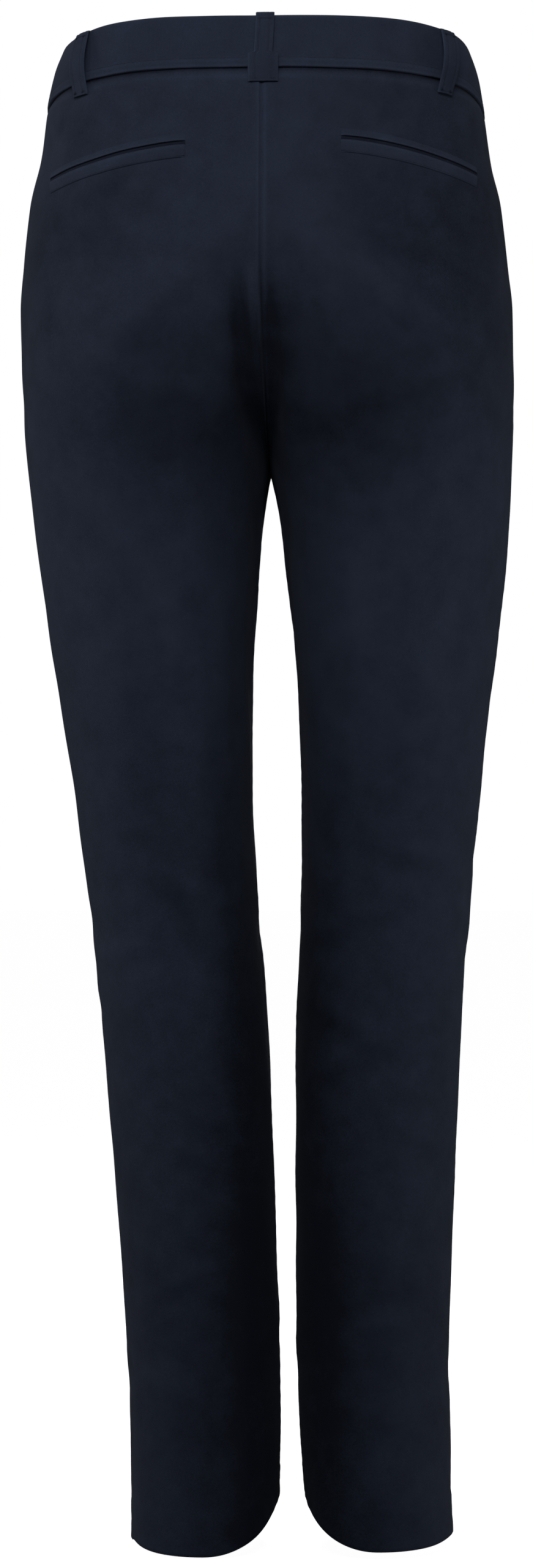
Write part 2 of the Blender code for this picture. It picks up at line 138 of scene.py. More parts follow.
def camera_only(tree, socket, seen, unseen):
    """Feeds the socket one value where the camera sees it and another for the light that it gives."""
    ray = add_node(tree, "ShaderNodeLightPath").outputs["Is Camera Ray"]
    mix = add_node(tree, "ShaderNodeMapRange", {"Value": ray, "To Min": unseen, "To Max": seen})
    feed(tree, socket, mix.outputs["Result"])


print("node helpers are ready")

# %% [markdown]
# ## Light and floor
# Dark cloth shows its form by the light that grazes it. Two tall softboxes stand at the sides, so the outer
# halves of the legs are lighter and the inner halves, which face each other, stay dark. One above lights the
# seat, a small one with a grid gives the belt loops their shadows, and one in front lights the fronts. The world
# is white where the camera sees it, and dimmer as a source of light. The paper floor is clear from underneath, so
# that the hems can be looked at from below.

# %% Set up the studio
WORLD_LIGHT = 0.05
FLOOR_HEIGHT = -1.0222
FLOOR_HALF = 15
PAPER_GLOW = 0.98
Softbox = namedtuple("Softbox", "name place aim width height watts spread")
SOFTBOXES = (
    Softbox("softbox left", (1.8, 0.00, -0.10), (0, 0, -0.50), 0.5, 1.2, 13, 180),
    Softbox("softbox behind left", (1.20, 1.20, 0.42), (0, 0, -0.04), 0.3, 0.3, 0.11, 26),
    Softbox("softbox right", (-1.8, 0.05, -0.72), (0, 0, -0.70), 0.5, 0.9, 12.5, 180),
    Softbox("softbox above", (0.02, 1.9, 1.00), (0, 0.1, -0.38), 1.2, 0.8, 37, 180),
    Softbox("softbox in front", (0, -2.0, 0.70), (0, 0, -0.40), 0.5, 1.0, 55, 180),
)


def place_softbox(softbox):
    data = bpy.data.lights.new(softbox.name, "AREA")
    data.shape = "RECTANGLE"
    data.size, data.size_y = softbox.width, softbox.height
    data.energy = softbox.watts
    data.spread = math.radians(softbox.spread)
    light = add_object(softbox.name, data)
    light.location = softbox.place
    aim = Vector(softbox.aim) - Vector(softbox.place)
    light.rotation_euler = aim.to_track_quat("-Z", "Y").to_euler()


def lay_floor():
    mesh = bpy.data.meshes.new("floor")
    corners = [(-1, -1), (1, -1), (1, 1), (-1, 1)]
    mesh.from_pydata([(x * FLOOR_HALF, y * FLOOR_HALF, FLOOR_HEIGHT) for x, y in corners], [], [(0, 1, 2, 3)])
    values = {"Base Color": (0.15, 0.15, 0.15, 1), "Roughness": 0.9, "Emission Color": (1, 1, 1, 1)}
    paper, tree, shader = new_material("pale paper floor", values)
    camera_only(tree, shader.inputs["Emission Strength"], PAPER_GLOW, 0.0)
    under = add_node(tree, "ShaderNodeNewGeometry").outputs["Backfacing"]
    feed(tree, shader.inputs["Alpha"], maths(tree, "SUBTRACT", 1, under))
    mesh.materials.append(paper)
    return add_object("floor", mesh)


for softbox in SOFTBOXES:
    place_softbox(softbox)
world = bpy.data.worlds.new("white studio")
world.use_nodes = True
backdrop = world.node_tree.nodes["Background"]
backdrop.inputs["Color"].default_value = (1, 1, 1, 1)
camera_only(world.node_tree, backdrop.inputs["Strength"], 1.0, WORLD_LIGHT)
bpy.context.scene.world = world
bpy.context.scene.view_settings.view_transform = "Standard"
lay_floor()
print("softboxes:", len(SOFTBOXES))

# %% [markdown]
# ## The form of the trousers
# Each leg is a stack of level ovals. Above the crotch the two ovals run into each other and are cut off at the
# centre seams, so the trousers are one round at the waist. The tables give the ovals by height, and a smooth
# curve through them gives every height between. An angle round a leg starts at its outer side, with 90 degrees
# at the back. Working on whole arrays at once keeps a grid of 30,000 points quick.

# %% Sizes of the trousers
CLOTH = 0.0018
SEAM_GAP = 0.0003
BAND_HEIGHT = 0.034
CROTCH = -0.2813
HEM = {"left": -1.0205, "right": -1.0165}
HEM_DEPTH = 0.032
WAIST_TILT = 0.18
TILT_ENDS = -0.170
WAIST_SIDE_DROP = 0.0040
SIDE_DROP_POWER = 6
SPLIT_TOP = {"back": -0.145, "front": -0.200}
SPLIT_EASE = 1.5
HEM_INNER_LIFT, HEM_INNER_POWER = 0.031, 2.1
HEM_OUTER_LIFT, HEM_OUTER_POWER = 0.0045, 2
HEM_CORNER = {"left": 0.0030, "right": 0.0020}
HEM_CORNER_POWER = 40
HEM_LIFT_TOP = -0.920
LEAN = 0.0204
LEAN_TOP = -0.150
WAIST_SHIFT = 0.0014
WAIST_SHIFT_FADES = (-0.030, 0.0)
SIDE_SEAM = math.radians(-6)
SIGN = {"left": 1, "right": -1}
STEP = 0.0005

# Height, outer side, back and front in millimetres, and how square the oval is at the back and at the front
SECTIONS = (
    (20, 135.2, 107.0, -102.0, 3.4, 2.7),
    (0, 140.2, 109.0, -104.0, 3.4, 2.7),
    (-14, 146.4, 110.5, -105.8, 3.2, 2.7),
    (-35, 150.8, 113.0, -108.5, 2.9, 2.7),
    (-70, 155.7, 118.0, -112.0, 2.8, 2.7),
    (-100, 162.7, 123.5, -114.0, 2.8, 2.8),
    (-140, 167.2, 128.5, -115.0, 2.7, 2.8),
    (-170, 169.9, 129.0, -115.5, 2.7, 2.8),
    (-210, 169.4, 124.0, -115.0, 2.6, 2.9),
    (-250, 168.8, 115.0, -114.0, 2.5, 2.8),
    (-282, 167.0, 106.0, -112.0, 2.4, 2.7),
    (-320, 164.2, 101.0, -109.0, 2.3, 2.5),
    (-400, 154.8, 94.5, -101.0, 2.2, 2.3),
    (-480, 143.6, 83.0, -92.5, 2.2, 2.2),
    (-560, 134.3, 71.5, -84.5, 2.2, 2.2),
    (-620, 127.9, 67.0, -78.5, 2.2, 2.2),
    (-700, 122.2, 66.2, -71.5, 2.2, 2.2),
    (-800, 115.8, 65.0, -66.0, 2.2, 2.2),
    (-900, 111.2, 63.5, -63.5, 2.2, 2.2),
    (-1030, 111.0, 63.5, -63.5, 2.2, 2.2),
)
SECTION_UNITS = (1000, 1000, 1000, 1000, 1, 1)
# Height, and half the gap between the legs, in millimetres
LEG_GAPS = (
    (-281.3, 0.2), (-290.7, 3.5), (-325, 7.5), (-375.7, 12.5), (-427, 16.1), (-500, 17.4),
    (-614, 13.0), (-670, 9.7), (-800, 7.2), (-900, 6.2), (-970, 7.2), (-1030, 9.5),
)  # fmt: skip
print("sections:", len(SECTIONS), "and leg gaps:", len(LEG_GAPS))

# %% Smooth curves through the tables


def bell(value, middle, width):
    """1 at the middle, and falling away to either side of it over this width."""
    return np.exp(-(((value - middle) / width) ** 2))


def smooth_step(value, low, high):
    share = np.clip((np.asarray(value) - low) / (high - low), 0.0, 1.0)
    return share * share * (3 - 2 * share)


def smooth_curve(rows, units=1000):
    """The table's heights, values and slopes, the slopes chosen so that a curve through them never overshoots."""
    table = np.array(sorted(rows)) / units
    heights, values = table[:, 0], table[:, 1:]
    rise = np.diff(values, axis=0) / np.diff(heights)[:, None]
    slopes = np.vstack([rise[:1], np.zeros_like(rise[1:]), rise[-1:]])
    same_way = rise[:-1] * rise[1:] > 0
    total = np.where(same_way, rise[:-1] + rise[1:], 1.0)
    slopes[1:-1] = np.where(same_way, 2 * rise[:-1] * rise[1:] / total, 0.0)
    return heights, values, slopes


def read_curve(curve, height):
    heights, values, slopes = curve
    height = np.asarray(height, float)
    i = np.clip(np.searchsorted(heights, height) - 1, 0, len(heights) - 2)
    step = (heights[i + 1] - heights[i])[..., None]
    t = (height - heights[i])[..., None] / step
    ends = (1 + 2 * t) * (1 - t) ** 2 * values[i] + t * t * (3 - 2 * t) * values[i + 1]
    return ends + step * (t * (1 - t) ** 2 * slopes[i] - t * t * (1 - t) * slopes[i + 1])


SECTION_CURVE = smooth_curve(SECTIONS, SECTION_UNITS)
GAP_CURVE = smooth_curve(LEG_GAPS)
print("outer side at the knee:", np.round(read_curve(SECTION_CURVE, -0.58)[0], 4), "m")

# %% A point on the cloth, and which way it faces


def oval_at(height, back):
    """Centre x and y, half width, half depth and squareness of the oval at each height, back or front."""
    outer, back_y, front_y, back_square, front_square = np.moveaxis(read_curve(SECTION_CURVE, height), -1, 0)
    top = np.where(back, SPLIT_TOP["back"], SPLIT_TOP["front"])
    share = np.clip((top - height) / (top - CROTCH), 0.0, 1.0)
    split = 1 - (1 - share) ** SPLIT_EASE
    gap = read_curve(GAP_CURVE, height)[..., 0]
    inner = np.where(height > CROTCH, -outer * (1 - split) / (1 + split), gap)
    square = np.where(back, back_square, front_square)
    return (outer + inner) / 2, (back_y + front_y) / 2, (outer - inner) / 2, (back_y - front_y) / 2, square


def middle_at(height):
    """Where the plane between the left and right halves lies."""
    return LEAN * np.minimum(height - LEAN_TOP, 0.0) - WAIST_SHIFT * smooth_step(height, *WAIST_SHIFT_FADES)


def bare_skin(side, angle, height):
    """Points on the outside of the smooth form."""
    angle, height = np.broadcast_arrays(np.asarray(angle, float), np.asarray(height, float))
    centre_x, centre_y, half_width, half_depth, square = oval_at(height, np.sin(angle) > 0)
    across = np.abs(np.cos(angle) / half_width) ** square
    along = np.abs(np.sin(angle) / half_depth) ** square
    reach = (across + along) ** (-1 / square)
    x = centre_x + reach * np.cos(angle)
    y = centre_y + reach * np.sin(angle)
    drop = WAIST_SIDE_DROP * np.abs(np.cos(angle)) ** SIDE_DROP_POWER
    rise = (WAIST_TILT * y - drop) * smooth_step(height, TILT_ENDS, 0.0)
    inner, outer = np.maximum(-np.cos(angle), 0.0), np.maximum(np.cos(angle), 0.0)
    lift = HEM_INNER_LIFT * inner**HEM_INNER_POWER + HEM_OUTER_LIFT * outer**HEM_OUTER_POWER
    lift = lift - HEM_CORNER[side] * outer**HEM_CORNER_POWER
    lift = lift * smooth_step(height, HEM_LIFT_TOP, HEM["left"])
    return np.stack([SIGN[side] * x + middle_at(height), y, height + rise + lift], axis=-1)


def outward(side, angle, height):
    around = bare_skin(side, angle + STEP, height) - bare_skin(side, angle - STEP, height)
    upward = bare_skin(side, angle, height + STEP) - bare_skin(side, angle, height - STEP)
    normal = SIGN[side] * np.cross(around, upward)
    return normal / np.linalg.norm(normal, axis=-1, keepdims=True)


def reach_at(side, angle, height):
    """Metres along the cloth for each radian of angle."""
    step = bare_skin(side, angle + STEP, height) - bare_skin(side, angle, height)
    return np.linalg.norm(step, axis=-1) / STEP


print("waist, centre back:", np.round(bare_skin("left", math.pi / 2, 0.0), 4))

# %% [markdown]
# ## Creases
# A crease in worn twill is a soft trough with a ridge along one side of it. It is shallow, it fades at both
# ends and it is seldom straight. Each row of the table is one crease: where its middle lies, how it slants,
# how long and wide it is, and how deep. Seen from the back or front, across is measured along X, and seen from
# the outer or inner side of a leg it is measured along Y. Placing them one by one puts the drag lines where a
# body makes them: below the seat, at the crotch, behind and over the knee, and above the hem.

# %% Table of creases
# Lip is the ridge beside the trough, as a share of its depth, on its upper side, or its lower where negative.
# Slants are in degrees and the other columns in millimetres. The rows of each side run from the waist down.
Crease = namedtuple("Crease", "across height slant length width depth lip bend")
CREASE_UNITS = (1000, 1000, 1, 1000, 1000, 1000, 1, 1000)
FOLD_TABLE = {
    ("left", "back"): ((68, -262, 14, 70, 17, 4.0), (75, -566, 58, 50, 16, 2.6)),
    ("right", "back"): ((74, -258, 11, 64, 18, 3.6), (83, -580, 40, 46, 17, 2.4)),
    ("left", "front"): ((60, -244, 38, 62, 16, 3.8), (70, -610, -16, 46, 16, 3.0), (50, -930, 10, 46, 14, 3.0)),
    ("right", "front"): ((54, -252, 44, 68, 16, 4.2), (80, -596, 12, 50, 17, 3.2), (68, -915, -14, 44, 15, 2.8)),
}
CREASE_TABLE = {
    ("both", "back"): (
        (12.6, -212, 84, 58, 6.2, 4.0, 0.25, -3.0),
        (-6.6, -208, 87, 52, 5.4, 3.6, -0.25, 1.5),
        (3.0, -190, 86, 34, 4.6, -1.2, 0.0, 0.0),
    ),
    ("left", "back"): (
        (60, -192, -44, 62, 15, 1.0, 0.6, 6),
        (50, -288, 10, 46, 14, 0.6, -0.5, 4),
        (94, -232, 30, 32, 8, 0.8, 0.5, 2),
        (54, -45, 4, 22, 5, 0.6, -0.4, 1),
        (104, -100, -34, 30, 8, 0.7, 0.4, 2),
        (100, -360, 64, 60, 12, 1.1, 0.5, 4),
        (48, -400, 100, 70, 11, 1.0, 0.4, -4),
        (56, -590, 70, 30, 7, 1.4, 0.5, 2),
        (46, -548, 22, 34, 8, 1.1, -0.5, 3),
        (88, -618, -14, 28, 8, 0.9, 0.5, 2),
        (60, -752, 20, 26, 7, 1.0, 0.5, 2),
        (46, -838, -24, 28, 7, 1.1, 0.5, 2),
        (66, -890, 14, 24, 7, 1.0, -0.5, 2),
    ),
    ("right", "back"): (
        (-56, -176, 38, 60, 15, 1.0, 0.6, 6),
        (-60, -284, -8, 52, 14, 0.6, -0.5, 4),
        (-108, -240, -26, 30, 8, 0.8, 0.5, -2),
        (-78, -52, -12, 20, 5, 0.6, -0.4, 1),
        (-110, -104, 30, 30, 8, 0.7, 0.4, 2),
        (-104, -372, 112, 60, 12, 1.1, 0.5, 4),
        (-52, -420, 84, 60, 11, 0.9, 0.4, 3),
        (-62, -600, 160, 36, 8.5, 1.2, -0.5, 3),
        (-90, -552, 20, 30, 8, 1.0, 0.5, -2),
        (-50, -664, 30, 30, 8, 0.9, 0.5, 2),
        (-60, -690, -28, 28, 8, 1.0, 0.5, 2),
        (-100, -745, 24, 24, 7, 0.9, 0.5, 2),
        (-74, -848, -12, 28, 7, 1.1, -0.5, 2),
        (-62, -930, 18, 24, 7, 0.9, 0.5, 2),
    ),
    ("left", "front"): (
        (44, -214, 24, 40, 8, 1.6, 0.5, -3),
        (52, -282, 50, 44, 8.5, 1.6, 0.5, -3),
        (60, -560, 10, 38, 10, 1.3, 0.4, 4),
        (68, -648, -8, 34, 9, 1.3, -0.4, -3),
        (56, -890, -12, 34, 8, 1.4, 0.5, 3),
        (58, -968, 8, 30, 8, 1.2, 0.5, 2),
    ),
    ("right", "front"): (
        (-48, -206, 158, 42, 8, 1.5, -0.5, 3),
        (-50, -290, 128, 46, 8.5, 1.7, -0.5, 3),
        (-78, -552, -14, 36, 10, 1.2, 0.4, 4),
        (-70, -642, 10, 36, 9, 1.4, -0.4, -3),
        (-70, -872, 14, 34, 8, 1.3, 0.5, 3),
        (-74, -960, -10, 30, 8, 1.2, 0.5, 2),
    ),
    ("left", "outer"): (
        (16, -230, -24, 44, 13, 0.6, 0.4, 3),
        (-8, -420, 70, 60, 11, 0.9, 0.4, 3),
        (14, -590, -18, 34, 11, 0.8, -0.4, 3),
        (-12, -655, 24, 26, 9, 0.8, 0.4, 2),
        (4, -910, 26, 32, 10.5, 0.7, 0.4, 3),
    ),
    ("right", "outer"): (
        (18, -244, -28, 42, 13, 0.6, 0.4, 3),
        (-4, -440, 76, 60, 11, 0.9, 0.4, 3),
        (10, -606, 28, 36, 11, 0.8, 0.4, 3),
        (-14, -540, -20, 28, 9, 0.8, 0.4, 2),
        (-4, -896, -26, 32, 10.5, 0.7, -0.4, 3),
    ),
    ("left", "inner"): (
        (18, -345, 64, 46, 9, 1.2, 0.5, 3),
        (-20, -600, 22, 34, 11, 0.7, 0.4, 3),
        (6, -880, -26, 32, 10.5, 0.7, 0.4, 3),
    ),
    ("right", "inner"): (
        (22, -350, 60, 46, 9, 1.2, 0.5, 3),
        (-14, -588, -24, 34, 11, 0.7, 0.4, 3),
        (8, -900, 24, 32, 10.5, 0.7, 0.4, 3),
    ),
}


def in_metres(table):
    """The side, the view and the crease of every row, with a plain trough where the row ends early."""
    whole = [(*key, row + (0,) * (len(CREASE_UNITS) - len(row))) for key, rows in table.items() for row in rows]
    return [(side, seen, Crease(*np.divide(row, CREASE_UNITS))) for side, seen, row in whole]


FOLDS = in_metres(FOLD_TABLE)
CREASES = in_metres(CREASE_TABLE)
print("broad folds:", len(FOLDS), "and fine creases:", len(CREASES))

# %% Relief of the cloth
FOLD_FADES = (0.004, 0.034)
FOLD_EASE = 0.50
LIP_OUT = 1.7
LIP_WIDTH = 0.9
NEAR_CENTRE = (0.002, 0.020)
NEAR_CROTCH = (-0.33, -0.29)
FACING_FADES = (0.1, 0.6)
RIPPLES = 16
RIPPLE_DEPTH = 0.00040
ripple_dice = np.random.default_rng(11)
ripple_ways = ripple_dice.normal(size=(RIPPLES, 3))
ripple_ways /= np.linalg.norm(ripple_ways, axis=1, keepdims=True)
ripple_lengths = ripple_dice.uniform(0.030, 0.110, RIPPLES)
ripple_starts = ripple_dice.uniform(0, math.tau, RIPPLES)


def ripple(point):
    """A slow, uneven waviness over all the cloth."""
    phase = point @ (ripple_ways / ripple_lengths[:, None]).T * math.tau + ripple_starts
    return np.sin(phase).sum(axis=-1) * RIPPLE_DEPTH / math.sqrt(RIPPLES)


def trough(right, up, crease):
    """One crease's own shape, 1 along its middle."""
    slant = math.radians(crease.slant)
    along = (right * math.cos(slant) + up * math.sin(slant)) / crease.length
    aside = (up * math.cos(slant) - right * math.sin(slant) + crease.bend * along * along) / crease.width
    ridge = abs(crease.lip) * bell(aside, math.copysign(LIP_OUT, crease.lip), LIP_WIDTH)
    return (np.exp(-aside * aside) - ridge) * np.exp(-(along**4))


def relief(side, angle, point, normal):
    """How far folds, creases and ripples draw the cloth in at each point."""
    x, y, z = np.moveaxis(point, -1, 0)
    off_middle = np.abs(x - middle_at(z))
    broad, fine = np.zeros_like(x), np.zeros_like(x)
    for where, seen, fold in FOLDS:
        if where == side:
            shape = trough(SIGN[side] * x - fold.across, z - fold.height, fold)
            broad += np.where((np.sin(angle) > 0) == (seen == "back"), fold.depth * shape * FOLD_EASE, 0.0)
    near_centre = (1 - smooth_step(off_middle, *NEAR_CENTRE)) * smooth_step(z, *NEAR_CROTCH)
    facing = {
        "back": normal[..., 1],
        "front": -normal[..., 1],
        "outer": SIGN[side] * normal[..., 0],
        "inner": -SIGN[side] * normal[..., 0],
    }
    for where, seen, crease in CREASES:
        if where in (side, "both"):
            right = (x if seen in ("back", "front") else y) - crease.across
            shape = trough(right, z - crease.height, crease) * smooth_step(facing[seen], *FACING_FADES)
            fine += crease.depth * shape * (1.0 if where == "both" else 1 - near_centre)
    return broad * smooth_step(off_middle, *FOLD_FADES) + fine + ripple(point)


def skin(side, angle, height, out=0.0):
    """Points on the outside of the creased cloth, moved out, or in where out is negative."""
    angle, height, out = np.broadcast_arrays(angle, height, out)
    point = bare_skin(side, angle, height)
    normal = outward(side, angle, height)
    return point + normal * (out - relief(side, angle, point, normal))[..., None]


print("ripples up to about", round(RIPPLE_DEPTH * 2000, 1), "mm deep")

# %% [markdown]
# ## Twill
# Chino cloth is a fine twill: its yarns cross in steps, which draw a diagonal line about every millimetre. The
# lines are a bump along the piece's own UV map, which is in metres, so they follow the cloth round the body. The
# colour is a dyed navy that has washed out a little on ridges and seams, with painted shade inside and low on the
# legs, on the hips, under the seat and in its cleft, in creases, under the band and in the back pockets' mouths,
# and a painted highlight below the band. The weave and the wash, which carries that painted light, are two node
# groups, built once and used in every cloth material with that cloth's own values.

# %% Shader groups for the weave and the wash, which carries painted light
RIB_PITCH = 0.0009
RIB_HEIGHT, YARN_HEIGHT, FUZZ_HEIGHT = 0.30, 0.12, 0.5
SLUB_SCALE, FUZZ_SCALE = 260.0, 2600.0
# Scale, detail and roughness of the clouds, mottles and single yarns of the wash, and how strong each is
WASH_LAYERS = (((11.0, 4.0, 0.6), 0.50), ((60.0, 3.0, 0.6), 0.42), ((900.0, 1.0, 0.5), 0.35))


def new_group(name, inputs, outputs):
    """An empty shader group with (name, type, value) inputs and number outputs."""
    tree = bpy.data.node_groups.new(name, "ShaderNodeTree")
    for socket, kind, value in inputs:
        made = tree.interface.new_socket(socket, in_out="INPUT", socket_type=kind)
        if value is not None:
            made.default_value = value
    for socket in outputs:
        tree.interface.new_socket(socket, in_out="OUTPUT", socket_type="NodeSocketFloat")
    return tree, tree.nodes.new("NodeGroupInput").outputs, tree.nodes.new("NodeGroupOutput").inputs


def around_zero(tree, value, size, base):
    """Adds a noise, made to swing to both sides of zero, to the base."""
    return maths(tree, "MULTIPLY_ADD", maths(tree, "SUBTRACT", value, 0.5), size, base)


def twill_group():
    """Diagonal ribs and the yarns across them, from a UV map in metres."""
    inputs = (
        ("Cloth", "NodeSocketVector", None),
        ("Rib pitch", "NodeSocketFloat", RIB_PITCH),
        ("Unevenness", "NodeSocketFloat", 0.35),
    )
    tree, given, result = new_group("twill weave", inputs, ("Height", "Ribs"))
    u, v = add_node(tree, "ShaderNodeSeparateXYZ", {0: given["Cloth"]}).outputs[:2]
    slub = maths(tree, "SUBTRACT", noise(tree, given["Cloth"], SLUB_SCALE), 0.5)
    drift = maths(tree, "MULTIPLY", slub, given["Unevenness"])
    diagonal = maths(tree, "DIVIDE", maths(tree, "ADD", u, v), given["Rib pitch"])
    ribs = maths(tree, "SINE", maths(tree, "MULTIPLY", maths(tree, "ADD", diagonal, drift), math.tau))
    counter = maths(tree, "DIVIDE", maths(tree, "SUBTRACT", u, v), given["Rib pitch"])
    yarns = maths(tree, "SINE", maths(tree, "MULTIPLY", counter, 1.5 * math.tau))
    height = maths(tree, "MULTIPLY_ADD", ribs, RIB_HEIGHT, 0.5)
    height = maths(tree, "MULTIPLY_ADD", yarns, YARN_HEIGHT, height)
    feed(tree, result["Height"], around_zero(tree, noise(tree, given["Cloth"], FUZZ_SCALE, 1.0), FUZZ_HEIGHT, height))
    feed(tree, result["Ribs"], maths(tree, "MULTIPLY_ADD", ribs, 0.5, 0.5))
    return tree


def wash_and_painted_light_group():
    """How washed out the dye is at a point: the given value, which carries painted light, with broad clouds, small
    mottles and single yarns.
    """
    inputs = (("Place", "NodeSocketVector", None), ("Wear and painted light", "NodeSocketFloat", 0.0))
    tree, given, result = new_group("wash_and_painted_light", inputs, ("Faded",))
    faded = given["Wear and painted light"]
    for grain, strength in WASH_LAYERS:
        faded = around_zero(tree, noise(tree, given["Place"], *grain), strength, faded)
    feed(tree, result["Faded"], add_node(tree, "ShaderNodeClamp", {"Value": faded}).outputs[0])
    return tree


TWILL = twill_group()
WASH_AND_PAINTED_LIGHT = wash_and_painted_light_group()
print("shader groups:", TWILL.name, "and", WASH_AND_PAINTED_LIGHT.name)

# %% Cloth materials
Dye = namedtuple("Dye", "deep faded")
NAVY = Dye((0.0015, 0.0022, 0.0048), (0.0218, 0.0296, 0.0508))
NAVY_TRIM = Dye((0.0030, 0.0042, 0.0085), (0.0215, 0.0290, 0.0500))
NAVY_INSIDE = Dye((0.0070, 0.0098, 0.0180), (0.0190, 0.0255, 0.0430))
CLOTH_FINISH = {"Specular IOR Level": 0.08, "Sheen Roughness": 0.45, "Sheen Tint": (0.42, 0.48, 0.62, 1)}
WEAVE_DEPTH = 0.0003
RIBS_FADED = 0.22
ROUGH_COAT, RIBS_ROUGH = 0.92, -0.06


def twill_cloth(name, dye, bump=0.35, sheen=0.04):
    """A dyed twill. It reads the piece's UV map for the weave, and its attribute of rubbed dye and painted light for
    how faded it looks.
    """
    material, tree, shader = new_material(name, {**CLOTH_FINISH, "Sheen Weight": sheen})
    cloth = add_node(tree, "ShaderNodeUVMap", uv_map="cloth").outputs["UV"]
    place = add_node(tree, "ShaderNodeTexCoord").outputs["Object"]
    wear_and_painted_light = add_node(tree, "ShaderNodeAttribute", attribute_name="wear_and_painted_light").outputs["Fac"]
    weave = add_node(tree, "ShaderNodeGroup", {"Cloth": cloth, "Rib pitch": RIB_PITCH}, node_tree=TWILL).outputs
    wash_and_painted_light = add_node(tree, "ShaderNodeGroup", {"Place": place, "Wear and painted light": wear_and_painted_light}, node_tree=WASH_AND_PAINTED_LIGHT).outputs
    shade = maths(tree, "MULTIPLY_ADD", weave["Ribs"], RIBS_FADED, wash_and_painted_light["Faded"])
    two_tone(tree, shader, dye.deep, dye.faded, shade)
    feed(tree, shader.inputs["Roughness"], maths(tree, "MULTIPLY_ADD", weave["Ribs"], RIBS_ROUGH, ROUGH_COAT))
    add_bump(tree, shader, weave["Height"], bump, WEAVE_DEPTH)
    material.diffuse_color = (*dye.faded, 1)
    return material


twill_back = twill_cloth("navy twill, backs", NAVY)
twill_front = twill_cloth("navy twill, fronts", NAVY)
twill_band = twill_cloth("navy twill, waistband", NAVY_TRIM)
twill_trim = twill_cloth("navy twill, loops and pockets", NAVY_TRIM)
twill_inside = twill_cloth("navy twill, turned inside", NAVY_INSIDE, bump=0.25, sheen=0.03)
print("cloth materials:", 5)

# %% [markdown]
# ## A wall of cloth
# Every cloth piece is a closed wall: a grid of points on the outside, the same grid moved in by the cloth's
# thickness, and a rim that joins the two. A closed wall has no open edge, so it looks right from inside the
# waist as well. The grid also gives the UV map, in metres, by adding up the steps along its rows and columns.

# %% Make a wall from two grids
SHARP_EDGE = math.radians(62)


def way_along(grid, axis):
    """Metres to each grid point from the first row or column, by adding up the steps."""
    steps = np.linalg.norm(np.diff(grid, axis=axis), axis=-1)
    return np.concatenate([np.zeros_like(steps.take([0], axis)), np.cumsum(steps, axis=axis)], axis=axis)


def flat_map(grid):
    """Metres round and metres down at each grid point."""
    round_way = way_along(grid, 1)
    return round_way, way_along(grid, 0).mean(axis=1, keepdims=True) + np.zeros_like(round_way)


def flat_area(grid):
    """The area of the grid's quads."""
    a, b, c, d = grid[:-1, :-1], grid[:-1, 1:], grid[1:, 1:], grid[1:, :-1]
    return float(np.linalg.norm(np.cross(c - a, d - b), axis=-1).sum() / 2)


def grid_faces(rows, columns, wraps):
    """Quads over a grid, as four index columns."""
    i, j = np.meshgrid(np.arange(rows - 1), np.arange(columns if wraps else columns - 1), indexing="ij")
    i, j = i.ravel(), j.ravel()
    k = (j + 1) % columns
    return np.stack([i * columns + j, i * columns + k, (i + 1) * columns + k, (i + 1) * columns + j], axis=1)


def signed_volume(points, quads):
    a, b, c, d = (points[quads[:, i]] for i in range(4))
    return np.einsum("ij,ij->i", a, np.cross(b, c)).sum() + np.einsum("ij,ij->i", a, np.cross(c, d)).sum()


def cloth_piece(name, points, quads, flat, wear_and_painted_light, material):
    """A piece with smooth faces pointing out, a UV map in metres and an attribute of rubbed dye and painted light."""
    if signed_volume(points, quads) < 0:
        quads = quads[:, ::-1]
    mesh = bpy.data.meshes.new(name)
    mesh.from_pydata(points.tolist(), [], quads.tolist())
    mesh.uv_layers.new(name="cloth").data.foreach_set("uv", np.stack(flat, axis=-1)[quads.ravel()].ravel())
    mesh.attributes.new("wear_and_painted_light", "FLOAT", "POINT").data.foreach_set("value", wear_and_painted_light)
    mesh.shade_smooth()
    mesh.set_sharp_from_angle(angle=SHARP_EDGE)
    mesh.materials.append(material)
    return add_object(name, mesh)


def wall(name, outside, inside, material, wear_and_painted_light, wraps=False):
    """A closed wall between two grids of points. One that wraps joins its last column to its first."""
    rows, columns = outside.shape[:2]
    count = rows * columns
    index = np.arange(count).reshape(rows, columns)
    quads = [grid_faces(rows, columns, wraps), grid_faces(rows, columns, wraps)[:, ::-1] + count]
    rims = [(index[0], 1), (index[-1], -1)]
    if wraps:
        rims = [(np.append(rim, rim[0]), turn) for rim, turn in rims]
    else:
        rims += [(index[:, 0], -1), (index[:, -1], 1)]
    for rim, turn in rims:
        strip = np.stack([rim[1:], rim[:-1], rim[:-1] + count, rim[1:] + count], axis=1)
        quads.append(strip[:, ::turn])
    points = np.concatenate([outside.reshape(-1, 3), inside.reshape(-1, 3)])
    flat = [np.tile(way.ravel(), 2) for way in flat_map(outside)]
    return cloth_piece(name, points, np.concatenate(quads), flat, np.tile(wear_and_painted_light.ravel(), 2), material)


def hang(piece, slot, *nodes):
    """The piece rides with the trousers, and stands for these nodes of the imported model."""
    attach(piece, "root")
    if nodes:
        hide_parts(*nodes)
    return piece


print("walls are", CLOTH * 1000, "mm thick")

# %% [markdown]
# ## Backs and fronts
# Four panels make the body: two backs and two fronts, joined at the side seams, the inseams and the centre
# seams. At a seam the cloth rolls under, and the two turnings pressed open behind it lift the cloth beside it by
# a fraction of a millimetre. The sewing also draws the cloth up in small puckers. Columns stand closer together
# near the seams, because that is where this fine shape is.

